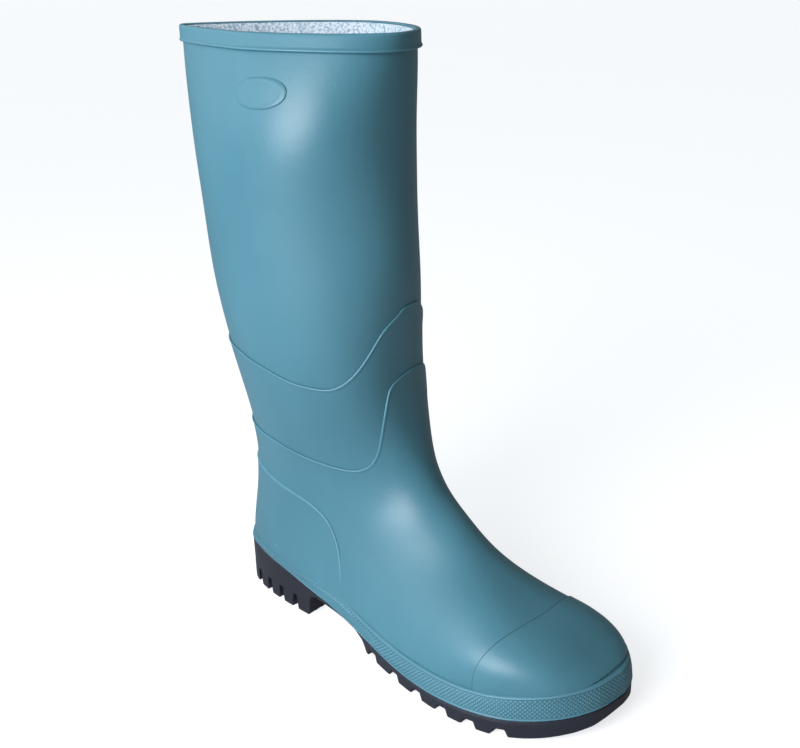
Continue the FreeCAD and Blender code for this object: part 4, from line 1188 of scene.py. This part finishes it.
bpy.ops.mesh.primitive_plane_add(size=90, location=(0, 0, -0.0003))
floor = bpy.context.object; floor.name = "floor"
m_floor = stage_mat("floor_pale", (0.50, 0.505, 0.51), 0.85)
_nt = m_floor.node_tree
_out = next(n for n in _nt.nodes if n.type == "OUTPUT_MATERIAL"); _bs = next(n for n in _nt.nodes if n.type == "BSDF_PRINCIPLED")
_em = _nt.nodes.new("ShaderNodeEmission"); _em.inputs["Color"].default_value = (0.97, 0.985, 1.0, 1); _em.inputs["Strength"].default_value = 0.74
_add = _nt.nodes.new("ShaderNodeAddShader"); _dif = _nt.nodes.new("ShaderNodeBsdfDiffuse"); _dif.inputs["Color"].default_value = (0.50, 0.51, 0.52, 1)
_mx = _nt.nodes.new("ShaderNodeMixShader"); _lp = _nt.nodes.new("ShaderNodeLightPath")
_nt.links.new(_bs.outputs["BSDF"], _add.inputs[0]); _nt.links.new(_em.outputs["Emission"], _add.inputs[1])
_nt.links.new(_lp.outputs["Is Camera Ray"], _mx.inputs["Fac"])
_nt.links.new(_dif.outputs["BSDF"], _mx.inputs[1]); _nt.links.new(_add.outputs["Shader"], _mx.inputs[2])
_gb = _nt.nodes.new("ShaderNodeNewGeometry"); _tr = _nt.nodes.new("ShaderNodeBsdfTransparent"); _bk = _nt.nodes.new("ShaderNodeMixShader")
_nt.links.new(_gb.outputs["Backfacing"], _bk.inputs["Fac"])
_nt.links.new(_mx.outputs["Shader"], _bk.inputs[1]); _nt.links.new(_tr.outputs["BSDF"], _bk.inputs[2])
_nt.links.new(_bk.outputs["Shader"], _out.inputs["Surface"])
floor.data.materials.append(m_floor)
floor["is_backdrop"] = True

world = bpy.data.worlds.new("studio")
bpy.context.scene.world = world
world.use_nodes = True
wt = world.node_tree
wt.nodes.clear()
w_out = wt.nodes.new("ShaderNodeOutputWorld")
w_cam = wt.nodes.new("ShaderNodeBackground"); w_cam.inputs["Color"].default_value = (0.93, 0.94, 0.95, 1); w_cam.inputs["Strength"].default_value = 1.0
w_lit = wt.nodes.new("ShaderNodeBackground")
w_mix = wt.nodes.new("ShaderNodeMixShader")
w_path = wt.nodes.new("ShaderNodeLightPath")
w_geo = wt.nodes.new("ShaderNodeTexCoord")
w_dot = wt.nodes.new("ShaderNodeVectorMath"); w_dot.operation = "DOT_PRODUCT"
w_dot.inputs[1].default_value = (-0.70, -0.68, 0.22)
w_ramp = wt.nodes.new("ShaderNodeValToRGB")
w_ramp.color_ramp.elements[0].position = 0.05; w_ramp.color_ramp.elements[0].color = (0.135, 0.128, 0.118, 1)
w_ramp.color_ramp.elements[1].position = 0.95; w_ramp.color_ramp.elements[1].color = (0.70, 0.78, 0.83, 1)
w_el = w_ramp.color_ramp.elements.new(0.55); w_el.color = (0.24, 0.25, 0.25, 1)
w_map = wt.nodes.new("ShaderNodeMapRange")
w_map.inputs["From Min"].default_value = -1.0; w_map.inputs["From Max"].default_value = 1.0
wt.links.new(w_geo.outputs["Generated"], w_dot.inputs[0])
wt.links.new(w_dot.outputs["Value"], w_map.inputs["Value"])
wt.links.new(w_map.outputs["Result"], w_ramp.inputs["Fac"])
wt.links.new(w_ramp.outputs["Color"], w_lit.inputs["Color"])
w_lit.inputs["Strength"].default_value = 0.95
wt.links.new(w_path.outputs["Is Camera Ray"], w_mix.inputs["Fac"])
wt.links.new(w_lit.outputs["Background"], w_mix.inputs[1])
wt.links.new(w_cam.outputs["Background"], w_mix.inputs[2])
wt.links.new(w_mix.outputs["Shader"], w_out.inputs["Surface"])


def sun(name, direction, angle, strength, col=(1, 1, 1)):
    l = bpy.data.lights.new(name, "SUN")
    l.angle = math.radians(angle); l.energy = strength; l.color = col
    o = bpy.data.objects.new(name, l)
    bpy.context.scene.collection.objects.link(o)
    o.rotation_euler = (-Vector(direction)).to_track_quat("-Z", "Y").to_euler()
    return o


def area(name, at, aim, size, power, col=(1, 1, 1)):
    l = bpy.data.lights.new(name, "AREA")
    l.shape = "DISK"; l.size = size; l.energy = power; l.color = col
    o = bpy.data.objects.new(name, l)
    bpy.context.scene.collection.objects.link(o)
    o.location = at
    o.rotation_euler = (Vector(at) - Vector(aim)).to_track_quat("Z", "Y").to_euler()
    return o


area("key", (0.06, -1.00, 0.62), (-0.03, 0.0, 0.36), 0.80, 14.5, (0.97, 0.965, 1.0))
area("flank", (-0.14, -0.95, 0.34), (0.08, 0.0, 0.06), 0.50, 1.5, (0.40, 0.70, 1.0))
sun("fill_top", (-0.60, -0.50, 0.62), 50.0, 0.30, (0.95, 0.98, 1.0))
bpy.context.scene.view_settings.view_transform = "Standard"
fwd = Vector((-0.62932, 0.68946, -0.35861)); right = Vector((0.74439, 0.66733, -0.02334)); up = Vector((-0.22323, 0.28163, 0.93319))

CAM = np.array([551.70, -451.83, 413.34]) + SHIFT
cam_data = bpy.data.cameras.new("camera")
cam = bpy.data.objects.new("camera", cam_data)
bpy.context.scene.collection.objects.link(cam)
cam_data.sensor_width = 36.0
cam_data.lens = 1064.19 / 800.0 * 36.0
cam_data.clip_start = 0.01; cam_data.clip_end = 50.0
right.normalize(); fwd.normalize()
up = right.cross(fwd)
m = Matrix(((right.x, up.x, -fwd.x, CAM[0] * MM), (right.y, up.y, -fwd.y, CAM[1] * MM), (right.z, up.z, -fwd.z, CAM[2] * MM), (0, 0, 0, 1)))
cam.matrix_world = m
bpy.context.scene.camera = cam

bpy.context.view_layer.update()
lo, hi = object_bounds()
